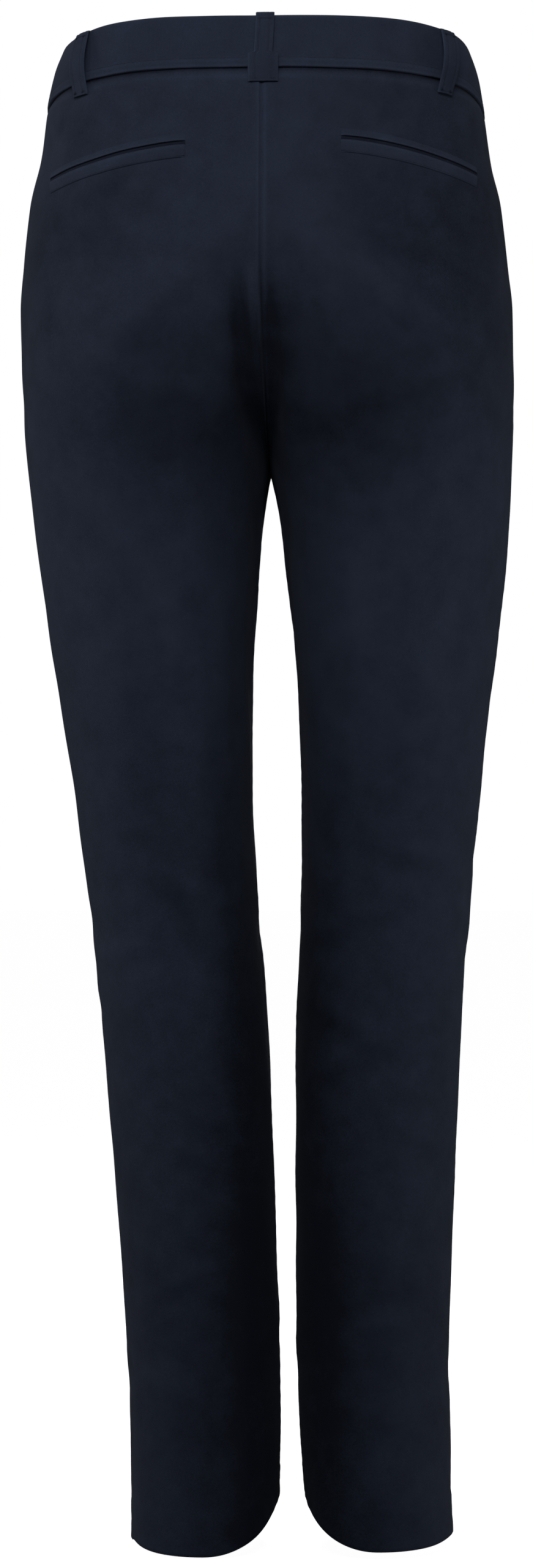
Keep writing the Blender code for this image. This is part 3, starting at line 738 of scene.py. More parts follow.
# %% Rows and columns of a panel
PANEL_COLUMNS = 132
PANEL_TOP_TUCK = 0.0022
PANEL_ROLL = 0.0025
ROLL_ROWS, SEAT_ROWS, LEG_ROWS, HEM_ROWS = 9, 112, 148, 18
SEAT_CROWDING, LEG_CROWDING, HEM_CROWDING = 1.3, 1.15, 1.4
HEM_ROWS_TOP = 0.036
COLUMN_CROWDING = 0.85
EDGE_POWER_MOST = 8
EDGE_POWER_SHARE = 0.75
FLY_LAP = 0.008
FLY_LAP_FADES = (-0.175, -0.155)
FLY_DIP_FADES = (-0.215, -0.180)
FLY_DIP_SPREAD = (0.013, 0.030)
UNDER_BAND_FADES = (-BAND_HEIGHT - 0.010, -BAND_HEIGHT)


def panel_heights(side):
    """Heights from the waistband to the hem, closer together at both ends and at the crotch."""
    counts = (ROLL_ROWS, SEAT_ROWS, LEG_ROWS)
    roll_share, seat_share, leg_share = (np.linspace(0, 1, count, endpoint=False) for count in counts)
    roll = -BAND_HEIGHT + PANEL_TOP_TUCK - (PANEL_TOP_TUCK + PANEL_ROLL) * roll_share
    seat = CROTCH + (-BAND_HEIGHT - PANEL_ROLL - CROTCH) * (1 - seat_share) ** SEAT_CROWDING
    hem_top = HEM[side] + HEM_ROWS_TOP
    leg = CROTCH + (hem_top - CROTCH) * leg_share**LEG_CROWDING
    hem = hem_top + (HEM[side] - hem_top) * (1 - (1 - np.linspace(0, 1, HEM_ROWS)) ** HEM_CROWDING)
    return np.concatenate([roll, seat, leg, hem])


def centre_angle(height, back, cut):
    """The angle at which a panel ends: at the plane x = cut above the crotch, and at the inseam below it."""
    centre_x, _, half_width, half_depth, square = oval_at(height, back)
    share = np.abs(centre_x - cut) / half_width
    depth = half_depth * np.clip(1 - share**square, 0, None) ** (1 / square)
    angle = np.where(share < 1, np.arctan2(depth, cut - centre_x), math.pi)
    return angle if back else -angle


def panel_angles(side, back, height):
    """A row of angles for each height, from the side seam to the centre seam or inseam."""
    cut = np.zeros_like(height)
    if side == "left" and not back:
        cut = -FLY_LAP * smooth_step(height, *FLY_LAP_FADES)
    turn = 1 if back else -1
    span = turn * math.pi - SIDE_SEAM
    missing = turn * math.pi - centre_angle(height, back, cut)
    power = np.full_like(height, EDGE_POWER_MOST)
    far = np.abs(missing) > 1e-6
    power[far] = np.minimum(EDGE_POWER_SHARE * span / missing[far], EDGE_POWER_MOST)
    t = np.linspace(0, 1, PANEL_COLUMNS)
    share = t - COLUMN_CROWDING * np.sin(math.tau * t) / math.tau
    return SIDE_SEAM + span * share - missing[:, None] * share ** power[:, None]


print("rows:", len(panel_heights("left")), "columns:", PANEL_COLUMNS)

# %% Relief at the seams
# A wave is its length, and how far and over what length its phase swings. A fade is where it begins and ends.
SEAM_ROLL, SEAM_ROLL_WIDTH = 0.0007, 0.0011
TURNING, TURNING_END, TURNING_LIFT = 0.011, 0.003, 0.00026
TURNING_FADES = (0.0008, 0.0030)
PUCKER, PUCKER_LENGTH, PUCKER_REACH = 0.00016, 0.0105, 0.006
PUCKER_DRIFTS = ((0.037, 1, 1.4), (0.021, 2, 0.8))
PUCKER_FADES = (0.0, 0.0015)
CENTRE_RIDGE = 0.00045
RIDGE_RISES, RIDGE_FALLS, RIDGE_FADES = (0.0010, 0.0022), (0.0040, 0.0070), (CROTCH, CROTCH + 0.03)
GATHER, GATHER_WAVE, GATHER_REACH = 0.00018, (0.0042, 3, 0.031), 0.010
EDGE_FADES = (0.0, 0.003)
HEM_FOLD, HEM_FOLD_WIDTH = 0.0008, 0.0010
HEM_STITCH_UP = 0.030
HEM_STEP, HEM_STEP_FADES = 0.00042, (HEM_STITCH_UP - 0.0025, HEM_STITCH_UP + 0.0015)
HEM_DIMPLE, HEM_DIMPLE_LENGTH, HEM_DIMPLE_WIDTH, HEM_DIMPLE_POWER = 0.00022, 0.00105, 0.0016, 4
ROPE, ROPE_WAVE, ROPE_SLANT, ROPE_REACH = 0.00026, (0.0023, 2, 0.027), 0.7, 0.016
EASE_ROUNDS, EASE_SHARE, EASE_WIDTH, EASE_FADES = 120, 0.6, 0.024, (0.001, 0.010)
SEAM_HOLD = 0.006
BAND_WALL = 0.0028
UNDER_RAMP = (math.radians(245), math.radians(260))
BAND_TUCK, BAND_TUCK_WIDTH = 0.0015, 0.0026


def band_set_in(angle):
    """How far the right end of the band lies in, under the lap of its left end."""
    return (BAND_WALL + SEAM_GAP) * smooth_step(angle, *UNDER_RAMP)


def from_edges(grid):
    """Distance of each grid point from the first and from the last column, along its row."""
    way = way_along(grid, 1)
    return way, way[:, -1:] - way


def uneven_wave(way, length, swing, drift, aside=0.0):
    """A wave along the cloth whose phase swings to and fro, so that it is never regular."""
    return np.sin((way + aside) / length + swing * np.sin(way / drift))


def seam_shape(away, height, start):
    """How far the cloth goes in beside a seam: the roll, less the turning behind it, with puckers."""
    ends = 1 - smooth_step(away, TURNING - TURNING_END, TURNING)
    lift = TURNING_LIFT * smooth_step(away, *TURNING_FADES) * ends
    drift = sum(np.sin(height / length + turns * start) * swing for length, turns, swing in PUCKER_DRIFTS)
    wave = np.sin(math.tau * height / PUCKER_LENGTH + drift + start)
    pucker = PUCKER * wave * np.exp(-away / PUCKER_REACH) * smooth_step(away, *PUCKER_FADES)
    return SEAM_ROLL * bell(away, 0.0, SEAM_ROLL_WIDTH) - lift + pucker


def fly_dip(side, back, angle, height):
    """How far the right front goes in, under the lap of the left one and into the lower end of the band."""
    if side == "left" or back:
        return 0.0
    across = np.abs(bare_skin(side, angle, height)[..., 0] - middle_at(height))
    near = 1 - smooth_step(across, *FLY_DIP_SPREAD)
    lapped = (CLOTH + SEAM_GAP) * near * smooth_step(height, *FLY_DIP_FADES)
    at_band = smooth_step(height, *UNDER_BAND_FADES)
    return np.maximum(lapped, band_set_in(math.pi - angle) * at_band)


def seam_relief(side, back, height, from_side, from_inner):
    """The relief that sewing gives a panel, in from the plain cloth."""
    depth = seam_shape(from_side, height, 1.0) + seam_shape(from_inner, height, 2.2)
    if back and side == "left":
        ridge = smooth_step(from_inner, *RIDGE_RISES) * (1 - smooth_step(from_inner, *RIDGE_FALLS))
        depth = depth - CENTRE_RIDGE * ridge * smooth_step(height, *RIDGE_FADES)
    down = -BAND_HEIGHT - height
    depth = depth + BAND_TUCK * bell(np.maximum(down, 0.0), 0.0, BAND_TUCK_WIDTH)
    gathers = uneven_wave(from_side, *GATHER_WAVE) * np.exp(-down / GATHER_REACH)
    depth = depth + GATHER * gathers * smooth_step(down, *EDGE_FADES)
    up = height - HEM[side]
    depth = depth + HEM_FOLD * bell(up, 0.0, HEM_FOLD_WIDTH)
    depth = depth - HEM_STEP * (1 - smooth_step(up, *HEM_STEP_FADES))
    stitches = np.maximum(np.cos(from_side / HEM_DIMPLE_LENGTH), 0.0) ** HEM_DIMPLE_POWER
    dimple = HEM_DIMPLE * bell(up, HEM_STITCH_UP, HEM_DIMPLE_WIDTH) * stitches
    twist = uneven_wave(from_side, *ROPE_WAVE, ROPE_SLANT * up)
    return depth + dimple + ROPE * twist * np.exp(-up / ROPE_REACH) * smooth_step(up, *EDGE_FADES)


print("seam roll:", SEAM_ROLL * 1000, "mm")

# %% Sew the panels
# How much of its dye the cloth has lost, 0 to 1: over all, less the painted shade at these places. A place is
# the middle height of a bell and its width. Facing is where round the leg a fade begins and ends, as a cosine.
FADED = 0.62
CENTRE_SHADE = {"left": 0.34, "right": 0.27}
HIP_SHADE = {"left": 0.24, "right": 0.36}
HOLLOW_SHADE, TOP_SHADE, FOOT_SHADE = 0.38, 0.06, 0.25
INNER_SHADE, INNER_FOOT_SHADE = 0.24, 0.36
TUCK_SHADE, CREASE_SHADE, CENTRE_CREASE_SHADE = 0.45, 0.06, 0.22
SEAM_WORN, ROLL_HIGHLIGHT, HEM_WORN, RIDGE_WORN = 0.20, 0.14, 0.20, 0.15
LEG_FADES, INNER_FADES, TOP_FADES = (0.30, 1.00), (0.40, 0.60), (-0.30, -0.14)
INNER_FACING, HOLLOW_FACING, HIP_FACING = (-0.20, 0.85), (-0.90, 0.40), (0.10, 0.80)
HOLLOW_PLACE, HIP_PLACE, CENTRE_PLACE = (-0.236, 0.085), (-0.130, 0.100), (-0.200, 0.050)
CENTRE_WIDTH, TUCK_WIDTH, HEM_WORN_REACH = 0.022, 0.0022, 0.0020
SEAM_WORN_PLACE, ROLL_HIGHLIGHT_PLACE = (0.0020, 0.0016), (-BAND_HEIGHT - 0.0046, 0.0016)
FULL_RIDGE, FULL_CREASE = 0.0010, 0.0030


def fade_less_painted_shade(angle, height, side):
    """The thighs are lightest; painted shade darkens the hips, the hollow under the seat, the inner and lower legs
    and the top.
    """
    # Painted shade, darker down the legs towards the hems.
    down = smooth_step(-height, *LEG_FADES)
    # Painted shade inside the legs, where they face each other, stronger lower down.
    inner = smooth_step(-np.cos(angle), *INNER_FACING) * smooth_step(-height, *INNER_FADES)
    # Painted shade in the hollow under the seat, on the backs only.
    hollow = smooth_step(-np.cos(angle), *HOLLOW_FACING) * bell(height, *HOLLOW_PLACE) * (np.sin(angle) > 0)
    # Painted shade on the hips, darker on the right hip than on the left.
    hips = smooth_step(np.cos(angle), *HIP_FACING) * bell(height, *HIP_PLACE)
    # Painted shade: the top, from the seat up, is a little darker.
    painted_shade = HOLLOW_SHADE * hollow + HIP_SHADE[side] * hips + TOP_SHADE * smooth_step(height, *TOP_FADES)
    return FADED - inner * (INNER_SHADE + INNER_FOOT_SHADE * down) - FOOT_SHADE * down - painted_shade


def panel_wear_and_painted_light(depth, from_side, from_inner, angle, height, side):
    """Dye rubbed off at seams, hems and ridges, and painted light: a highlight below the band, shade in creases,
    cleft and under the band.
    """
    worn_and_painted_light = SEAM_WORN * bell(np.minimum(from_side, from_inner), *SEAM_WORN_PLACE)
    # Painted highlight along the roll of the cloth just below the waistband.
    worn_and_painted_light = worn_and_painted_light + ROLL_HIGHLIGHT * bell(height, *ROLL_HIGHLIGHT_PLACE)
    worn_and_painted_light = worn_and_painted_light + HEM_WORN * np.exp(-(height - HEM[side]) / HEM_WORN_REACH)
    worn_and_painted_light = worn_and_painted_light + RIDGE_WORN * np.clip(-depth / FULL_RIDGE, 0.0, 1.0)
    # Painted shade in the seat's cleft along the centre back seam, deeper where creased, darker on the left.
    centre = bell(from_inner, 0.0, CENTRE_WIDTH) * bell(height, *CENTRE_PLACE) * (np.sin(angle) > 0)
    # Painted shade down in creases and folds, darker the deeper they are.
    creased = np.clip(depth / FULL_CREASE, 0.0, 1.0)
    # Painted shade just under the waistband, where the panel tucks under it.
    painted_shade = TUCK_SHADE * bell(np.maximum(-BAND_HEIGHT - height, 0.0), 0.0, TUCK_WIDTH) + CREASE_SHADE * creased
    painted_shade = painted_shade + centre * (CENTRE_SHADE[side] + CENTRE_CREASE_SHADE * creased)
    return np.clip(fade_less_painted_shade(angle, height, side) + worn_and_painted_light - painted_shade, 0.0, 1.0)


def ease_at_crotch(grid, heights, from_inner):
    """Runs the rows smoothly past the crotch, where the two legs part, but leaves the seam itself alone."""
    share = ((heights[1:-1] - heights[2:]) / (heights[:-2] - heights[2:]))[:, None, None]
    near = bell(heights[1:-1], CROTCH, EASE_WIDTH)[:, None] * smooth_step(from_inner[1:-1], *EASE_FADES)
    for _ in range(EASE_ROUNDS):
        between = grid[2:] + (grid[:-2] - grid[2:]) * share
        grid[1:-1] += (between - grid[1:-1]) * near[..., None] * EASE_SHARE
    return grid


def sew_panel(side, back):
    heights = panel_heights(side)
    angle = panel_angles(side, back, heights)
    height = heights[:, None] + np.zeros_like(angle)
    point = bare_skin(side, angle, height)
    from_side, from_inner = from_edges(point)
    point = ease_at_crotch(point, heights, from_inner)
    normal = ease_at_crotch(outward(side, angle, height), heights, from_inner)
    normal /= np.linalg.norm(normal, axis=-1, keepdims=True)
    draped = relief(side, angle, point, normal)
    dipped = draped + fly_dip(side, back, angle, height)
    shift = normal * (dipped + seam_relief(side, back, height, from_side, from_inner))[..., None]
    held = (1 - smooth_step(from_inner, 0.0, SEAM_HOLD)) * smooth_step(height, CROTCH - SEAM_HOLD, CROTCH)
    shift[..., 0] *= 1 - held
    outside = point - shift
    inside = point - normal * (dipped + CLOTH)[..., None]
    # Rubbed dye with painted shade and a painted highlight in it, for the cloth's colour.
    wear_and_painted_light = panel_wear_and_painted_light(draped - ripple(point), from_side, from_inner, angle, height, side)
    name = f"{'back' if back else 'front'}_{side}"
    piece = wall(f"{name}_cloth", outside, inside, twill_back if back else twill_front, wear_and_painted_light)
    hang(piece, "twill", name)
    width, length = from_side.max(), flat_map(outside)[1].max()
    print(f"{piece.name}: cut {width:.3f} x {length:.3f} m, {flat_area(outside):.4f} square metres")


for side in SIGN:
    sew_panel(side, True)
    sew_panel(side, False)

# %% [markdown]
# ## Hems
# The leg's end is turned up inside by 32 mm and caught with small stitches. From outside only the fold shows.
# From below or inside you see the turned-up strip, so it is a ring of its own, which meets the fold.

# %% Turn up the hems
TRIM_CLOTH = 0.0012
TURNING_GAP = 0.00005
HEM_ROUND, FOLD_ROUND_WIDTH, TOP_ROUND_WIDTH = 0.0005, 0.0007, 0.0008
# Rows near the fold by their distance from it, rows near the top edge by theirs, and the number between
FOLD_ROWS, TOP_ROWS, TURNING_ROWS = (0.0, 0.0006, 0.0014), (0.0008, 0.0), 14
TURNING_ROWS_FROM, TURNING_ROWS_TO = 0.004, 0.002
HEM_FADE = 0.4


def turn_up_hem(side):
    middle_rows = np.linspace(TURNING_ROWS_FROM, HEM_DEPTH - TURNING_ROWS_TO, TURNING_ROWS)
    up = np.concatenate([FOLD_ROWS, middle_rows, HEM_DEPTH - np.array(TOP_ROWS)])
    heights = HEM[side] + up
    back, front = panel_angles(side, True, heights), panel_angles(side, False, heights)
    angle = np.concatenate([back[:, ::2], front[:, -2:0:-2]], axis=1)
    height = heights[:, None] + np.zeros_like(angle)
    roll = HEM_ROUND * (bell(up, 0.0, FOLD_ROUND_WIDTH) + bell(up, HEM_DEPTH, TOP_ROUND_WIDTH))[:, None]
    outside = skin(side, angle, height, -CLOTH - TURNING_GAP)
    inside = skin(side, angle, height, -CLOTH - TRIM_CLOTH + roll)
    piece = wall(f"hem_{side}_turning", outside, inside, twill_inside, HEM_FADE + 0 * height, wraps=True)
    hang(piece, "twill", f"hem_{side}")


for side in SIGN:
    turn_up_hem(side)

# %% [markdown]
# ## Strips that lie on the cloth
# The waistband, belt loops, pocket welts and pocket edges are narrow strips. Each is swept from a small
# cross-section along a path on the cloth: the cross-section gives how far a point is across the strip and how
# far off the cloth.

# %% Sweep a closed strip
TRIM_FADE = 0.50


def worn_trim(across, lines):
    """How much of its dye a strip has lost: more along lines, each given by its strength, place and width."""
    return sum((strength * bell(across, *place) for strength, *place in lines), TRIM_FADE)


def sweep_strip(name, points, material, wear_and_painted_light, upright=True):
    """A closed strip from a grid of points: rows run round its cross-section, columns along its path."""
    rows, columns = points.shape[:2]
    ring = grid_faces(rows + 1, columns, False)
    ring = np.where(ring >= rows * columns, ring - rows * columns, ring)
    low = np.arange(rows // 2 - 1 + rows % 2)
    high = rows - 1 - low
    start = np.stack([low, low + 1, high - 1, high], axis=1) * columns
    quads = np.concatenate([ring, start[:, ::-1], start + columns - 1])
    flat = [way.ravel() for way in flat_map(points)]
    return cloth_piece(name, points.reshape(-1, 3), quads, flat[::-1] if upright else flat, wear_and_painted_light.ravel(), material)


def rounded_ends(share, runs, least):
    """Rises from least at both ends of a strip to 1, like a quarter circle, over 1 / runs of its length."""
    near = np.clip(np.minimum(share, 1 - share) * runs, 0.0, 1.0)
    return least + (1 - least) * np.sqrt(1 - (1 - near) ** 2)


def angle_across(back, across, height):
    """The angle of the cloth that lies this far from the centre plane."""
    centre_x, _, half_width, half_depth, square = oval_at(height, back)
    share = np.clip(np.abs(across - centre_x) / half_width, 0, 0.99999)
    depth = half_depth * (1 - share**square) ** (1 / square)
    angle = np.arctan2(depth, across - centre_x)
    return angle if back else -angle


print("strips are swept along the cloth")

# %% [markdown]
# ## Waistband
# The band is one doubled strip, folded along its top edge, so its edges are round and it is a little proud of
# the cloth. Its left end laps over its right end at the front. It is swept as a closed outline round the waist.

# %% Sweep the waistband
BAND_PROUD = 0.0005
BAND_MIDDLE = BAND_PROUD - BAND_WALL / 2
BAND_COLUMNS = 420
BAND_OVER_END = math.radians(-90 - 5.5)
BAND_UNDER_END = math.radians(270 + 18)
BAND_STITCH_UP = 0.0060
BAND_TOP_ROUND, BAND_FOOT_ROUND, BAND_END_ROUND, BAND_END_LEAST = 0.0014, 0.0009, 0.0012, 0.25
BAND_FACE_ROWS, BAND_TURN_ROWS, BAND_FACE_FOOT = 19, 9, 0.0002
BAND_GROOVE, FOLD_GROOVE, FOLD_GROOVE_AT, GROOVE_WIDTH = 0.00022, 0.00010, -0.0016, 0.0008
BAND_PUCKER, BAND_PUCKER_WAVE, BAND_PUCKER_PLACE = 0.00013, (0.0019, 2.2, 0.019), (0.0042, 0.0040)
BAND_ROLL, BAND_ROLL_WAVE = 0.00022, (0.011, 1.7, 0.05)
BAND_WORN = (
    (0.25, -0.0004, 0.0012),
    (0.25, 0.0008 - BAND_HEIGHT, 0.0012),
    (0.15, BAND_STITCH_UP - BAND_HEIGHT - 0.0012, 0.0010),
)
WAIST_RADIUS = 0.125


def band_outline():
    """Heights and stand-offs round the band: down its face, under, up its back and over its top fold."""
    foot = -BAND_HEIGHT + BAND_FOOT_ROUND
    face = [(h, BAND_PROUD) for h in np.linspace(-BAND_TOP_ROUND, foot + BAND_FACE_FOOT, BAND_FACE_ROWS)]
    back = [(h, BAND_PROUD - BAND_WALL) for h in np.linspace(foot, -BAND_TOP_ROUND, BAND_TURN_ROWS)]
    turn = np.linspace(0, math.pi, BAND_TURN_ROWS)[1:-1]
    half = BAND_WALL / 2
    under = [(foot - BAND_FOOT_ROUND * math.sin(a), BAND_MIDDLE + half * math.cos(a)) for a in turn]
    over = [(BAND_TOP_ROUND * (math.sin(a) - 1), BAND_MIDDLE - half * math.cos(a)) for a in turn]
    return np.array(face + under + back + over).T[..., None]


def band_relief(angle, height):
    """Grooves of the lines of sewing, a soft roll between them, and puckers along the lower one."""
    up = height + BAND_HEIGHT
    groove = BAND_GROOVE * bell(up, BAND_STITCH_UP, GROOVE_WIDTH)
    groove = groove + FOLD_GROOVE * bell(height, FOLD_GROOVE_AT, GROOVE_WIDTH)
    girth = angle * WAIST_RADIUS
    pucker = uneven_wave(girth, *BAND_PUCKER_WAVE) * bell(up, *BAND_PUCKER_PLACE)
    return groove + BAND_PUCKER * pucker + BAND_ROLL * uneven_wave(girth, *BAND_ROLL_WAVE)


def sweep_band():
    height, out = band_outline()
    t = np.linspace(0, 1, BAND_COLUMNS)
    span = BAND_UNDER_END - BAND_OVER_END
    angle = BAND_OVER_END + span * t
    height = height + np.zeros_like(angle)
    ends = rounded_ends(t, span * WAIST_RADIUS / BAND_END_ROUND, BAND_END_LEAST)
    out = BAND_MIDDLE + (out - BAND_MIDDLE) * ends
    on_face = smooth_step(out, BAND_MIDDLE, BAND_PROUD)
    out = out - band_set_in(angle) - band_relief(angle, height) * on_face
    points = skin("left", angle + np.zeros_like(height), height, out)
    strip = sweep_strip("waistband_cloth", points, twill_band, worn_trim(height, BAND_WORN), upright=False)
    piece = hang(strip, "twill", "waistband")


sweep_band()

# %% [markdown]
# ## Belt loops
# A loop is a doubled strip stitched down both edges, tacked to the band at its top and below the band at its
# foot. Between the two it springs off the cloth, so that a belt can pass. The one at the centre back has a wider
# foot.

# %% Belt loops
LOOP_WALL = 0.0015
LOOP_WIDTH = 0.0125
LOOP_FOOT_WIDTH = 0.0203
LOOP_FOOT_TOP = -0.0255
LOOP_FACE_ROWS, LOOP_BACK_ROWS, LOOP_COLUMNS = 27, 9, 56
LOOP_GROOVE, LOOP_GROOVE_WIDTH = 0.28, 0.09
LOOP_STITCH = 0.52
LOOP_CROWN, LOOP_EDGE_POWER, LOOP_EDGE_LEAST = 0.06, 9, 0.12
LOOP_SPRING_POWER = 1.5
LOOP_FOOT_FADES = (LOOP_FOOT_TOP + 0.0002, LOOP_FOOT_TOP - 0.0006)
LOOP_WORN = ((0.3, 0.97, 0.08),)
Loop = namedtuple("Loop", "name side back across foot spring top")
LOOPS = (
    Loop("belt_loop_back_centre", "right", True, 0.0008, LOOP_FOOT_WIDTH, 0.0006, 0.0017),
    Loop("belt_loop_back_left", "left", True, 0.1225, LOOP_WIDTH, 0.0028, -0.0008),
    Loop("belt_loop_back_right", "right", True, 0.1220, LOOP_WIDTH, 0.0050, -0.0008),
    Loop("belt_loop_front_left", "left", False, 0.0880, LOOP_WIDTH, 0.0014, -0.0004),
    Loop("belt_loop_front_right", "right", False, 0.0880, LOOP_WIDTH, 0.0018, -0.0004),
)
# Height and stand-off in millimetres
LOOP_ROWS = ((1.7, 0.2), (1.3, 1.2), (0.0, 1.8), (-8.0, 2.5), (-17.5, 2.8), (-25.5, 2.5), (-34.5, 1.7), (-43.0, 0.6))
LOOP_CURVE = smooth_curve(LOOP_ROWS)
LOOP_FOOT, LOOP_HEAD = LOOP_CURVE[0][[0, -1]]


def loop_stand_off(loop, height):
    """How far a loop's back stands off the cloth: its two sewn ends are close to it, and it springs off between."""
    share = np.clip((height - LOOP_FOOT) / (loop.top - LOOP_FOOT), 0, 1)
    level = LOOP_FOOT + (LOOP_HEAD - LOOP_FOOT) * share
    return read_curve(LOOP_CURVE, level)[:, 0] + loop.spring * np.sin(math.pi * share) ** LOOP_SPRING_POWER


def loop_angle(loop, share, height):
    """The angle of a point this share of the half width from the middle of a loop."""
    middle = angle_across(loop.back, loop.across, height)
    width = LOOP_WIDTH + (loop.foot - LOOP_WIDTH) * smooth_step(height, *LOOP_FOOT_FADES)
    return middle + share * width / 2 / reach_at(loop.side, middle, height)


def loop_outline():
    """Across the loop, -1 to 1, and out, 0 to 1: the face with its two grooves, then the back."""
    face = np.linspace(-1, 1, LOOP_FACE_ROWS)
    edge = (1 - np.abs(face) ** LOOP_EDGE_POWER) ** 0.5
    grooves = sum(bell(face, at, LOOP_GROOVE_WIDTH) for at in (-LOOP_STITCH, LOOP_STITCH))
    crown = 1 - LOOP_CROWN + LOOP_CROWN * np.cos(face * math.pi / 2)
    out = np.clip(edge, LOOP_EDGE_LEAST, 1.0) * crown - LOOP_GROOVE * grooves
    back = np.linspace(1, -1, LOOP_BACK_ROWS)[1:-1]
    return np.concatenate([face, back])[:, None], np.concatenate([out, np.zeros(len(back))])[:, None]


def sew_loop(loop):
    height = np.linspace(loop.top, LOOP_FOOT, LOOP_COLUMNS)
    across, out = loop_outline()
    angle = loop_angle(loop, across, height)
    rows = height + np.zeros_like(angle)
    points = skin(loop.side, angle, rows, loop_stand_off(loop, height) + out * LOOP_WALL)
    worn_and_painted_light = worn_trim(np.abs(across), LOOP_WORN) + np.zeros_like(angle)
    piece = hang(sweep_strip(f"{loop.name}_cloth", points, twill_trim, worn_and_painted_light), "twill", loop.name)


for loop in LOOPS:
    sew_loop(loop)
print("belt loops:", len(LOOPS))

# %% [markdown]
# ## Pockets
# A back pocket is a slit in the seat. A welt, a narrow folded strip, fills the slit from below, so what shows is
# a dark mouth, a crevice with painted shade in it, with the rolled edge of the seat above it and the welt under
# it. A front pocket's mouth is a slanted fold of the front, stitched twice along its edge.

# %% Back pocket welts
WELT_INNER = {"left": (0.051, -0.0785), "right": (0.053, -0.0758)}
WELT_OUTER_ACROSS = 0.1445
WELT_DROP = 0.0130
WELT_FALL = 1.5
WELT_COLUMNS, WELT_CROWDING, WELT_ENDS, WELT_FACE_ROW = 110, 1.25, (16, 0.12), 11
WELT_MOUTH_SHADE = (-0.0009, 0.0014)
WELT_WORN = ((0.15, 0.0020, 0.0007), (0.15, -0.0013, 0.0006))
# How far below the mouth, and how far off the cloth, in millimetres
WELT_OUTLINE = (
    (-5.2, 0.10), (-3.8, 0.35), (-2.4, 0.85), (-1.6, 1.30), (-1.1, 1.45), (-0.8, 1.15), (-0.7, 0.15), (1.2, 0.12),
    (1.3, 0.90), (1.7, 1.25), (2.4, 1.40), (4.0, 1.35), (6.0, 1.15), (7.4, 0.90), (8.3, 0.60), (8.8, 0.25),
    (8.8, 0.05), (6.0, 0.05), (3.0, 0.05), (0.0, 0.05), (-2.5, 0.05), (-5.2, 0.05),
)  # fmt: skip


def from_millimetres(outline):
    """The two columns of an outline, in metres."""
    return np.array(outline).T[..., None] / 1000


def sew_pocket_strip(kind, side, points, worn_and_painted_light):
    name = f"{kind}_{side}"
    piece = hang(sweep_strip(f"{name}_cloth", points, twill_trim, worn_and_painted_light), "twill", name)


def welt_path(side, share, down):
    """Angle and height on the seat, this share of the way along the pocket's mouth and this far below it."""
    inner, top = WELT_INNER[side]
    across = inner + (WELT_OUTER_ACROSS - inner) * share
    height = top - WELT_DROP * share**WELT_FALL - down
    return angle_across(True, across, height), height


def sew_welt(side):
    t = np.linspace(0, 1, WELT_COLUMNS)
    down, out = from_millimetres(WELT_OUTLINE)
    angle, height = welt_path(side, 1 - (1 - t) ** WELT_CROWDING, down)
    points = skin(side, angle, height, out * rounded_ends(t, *WELT_ENDS))
    # Painted shade: the rows down in the pocket's mouth get the deepest dye.
    mouth_shade_rows = (down > WELT_MOUTH_SHADE[0]) & (down < WELT_MOUTH_SHADE[1])
    worn_and_painted_light = np.where(mouth_shade_rows, 0.0, worn_trim(down, WELT_WORN)) + np.zeros_like(angle)
    sew_pocket_strip("back_welt", side, points, worn_and_painted_light)


for side in SIGN:
    sew_welt(side)

# %% Front pocket edges
POCKET_TOP_ACROSS = 0.118
POCKET_TOP = -0.0365
POCKET_FOOT = -0.180
POCKET_FOOT_ANGLE = math.radians(-15)
EDGE_COLUMNS, EDGE_ENDS, EDGE_FACE_ROW = 120, (70, 0.25), 4
EDGE_WORN = ((0.3, 0.0004, 0.0007),)
# How far in front of the mouth, and how far off the cloth, in millimetres
EDGE_OUTLINE = (
    (0.2, 0.05), (-0.1, 0.60), (0.2, 1.35), (0.9, 1.75), (2.4, 1.70), (5.0, 1.50), (5.9, 1.20), (6.6, 1.35),
    (7.3, 0.95), (8.2, 0.50), (9.0, 0.12), (9.0, 0.05), (6.0, 0.05), (3.0, 0.05),
)  # fmt: skip


def pocket_path(side, share, near):
    """Angle and height on a front, this share of the way down its pocket and this far in front of the mouth."""
    height = POCKET_TOP + (POCKET_FOOT - POCKET_TOP) * share
    top_angle = angle_across(False, np.array(POCKET_TOP_ACROSS), np.array(POCKET_TOP))
    angle = top_angle + (POCKET_FOOT_ANGLE - top_angle) * share
    return angle - near / reach_at(side, angle, height), height + 0 * near


def sew_pocket_edge(side):
    share = np.linspace(0, 1, EDGE_COLUMNS)
    near, out = from_millimetres(EDGE_OUTLINE)
    angle, height = pocket_path(side, share, near)
    points = skin(side, angle, height, out * rounded_ends(share, *EDGE_ENDS))
    worn_and_painted_light = worn_trim(near, EDGE_WORN) + np.zeros_like(angle)
    sew_pocket_strip("front_pocket_edge", side, points, worn_and_painted_light)


for side in SIGN:
    sew_pocket_edge(side)

# %% [markdown]
# ## Sewing
# A line of machine stitches is the same small stitch again and again along a path, so Geometry Nodes make it:
# the path is cut into equal steps, a small rounded stitch is put on each, and the result is made real and baked.
# A bar tack is one thread that goes to and fro, so for that the nodes give a zigzag path a round section.

# %% Node trees for stitches and threads


def new_node_tree(name, sizes):
    """An empty Geometry Nodes tree with these sizes and a thread as inputs, and their identifiers."""
    tree = bpy.data.node_groups.new(name, "GeometryNodeTree")
    tree.interface.new_socket("Geometry", in_out="INPUT", socket_type="NodeSocketGeometry")
    names = {}
    for socket, kind in [(size, "Float") for size in sizes] + [("Thread", "Material")]:
        made = tree.interface.new_socket(socket, in_out="INPUT", socket_type=f"NodeSocket{kind}")
        names[socket] = made.identifier
    tree.interface.new_socket("Geometry", in_out="OUTPUT", socket_type="NodeSocketGeometry")
    given = tree.nodes.new("NodeGroupInput").outputs
    return tree, given, add_node(tree, "GeometryNodeMeshToCurve", {0: given["Geometry"]}).outputs[0], names


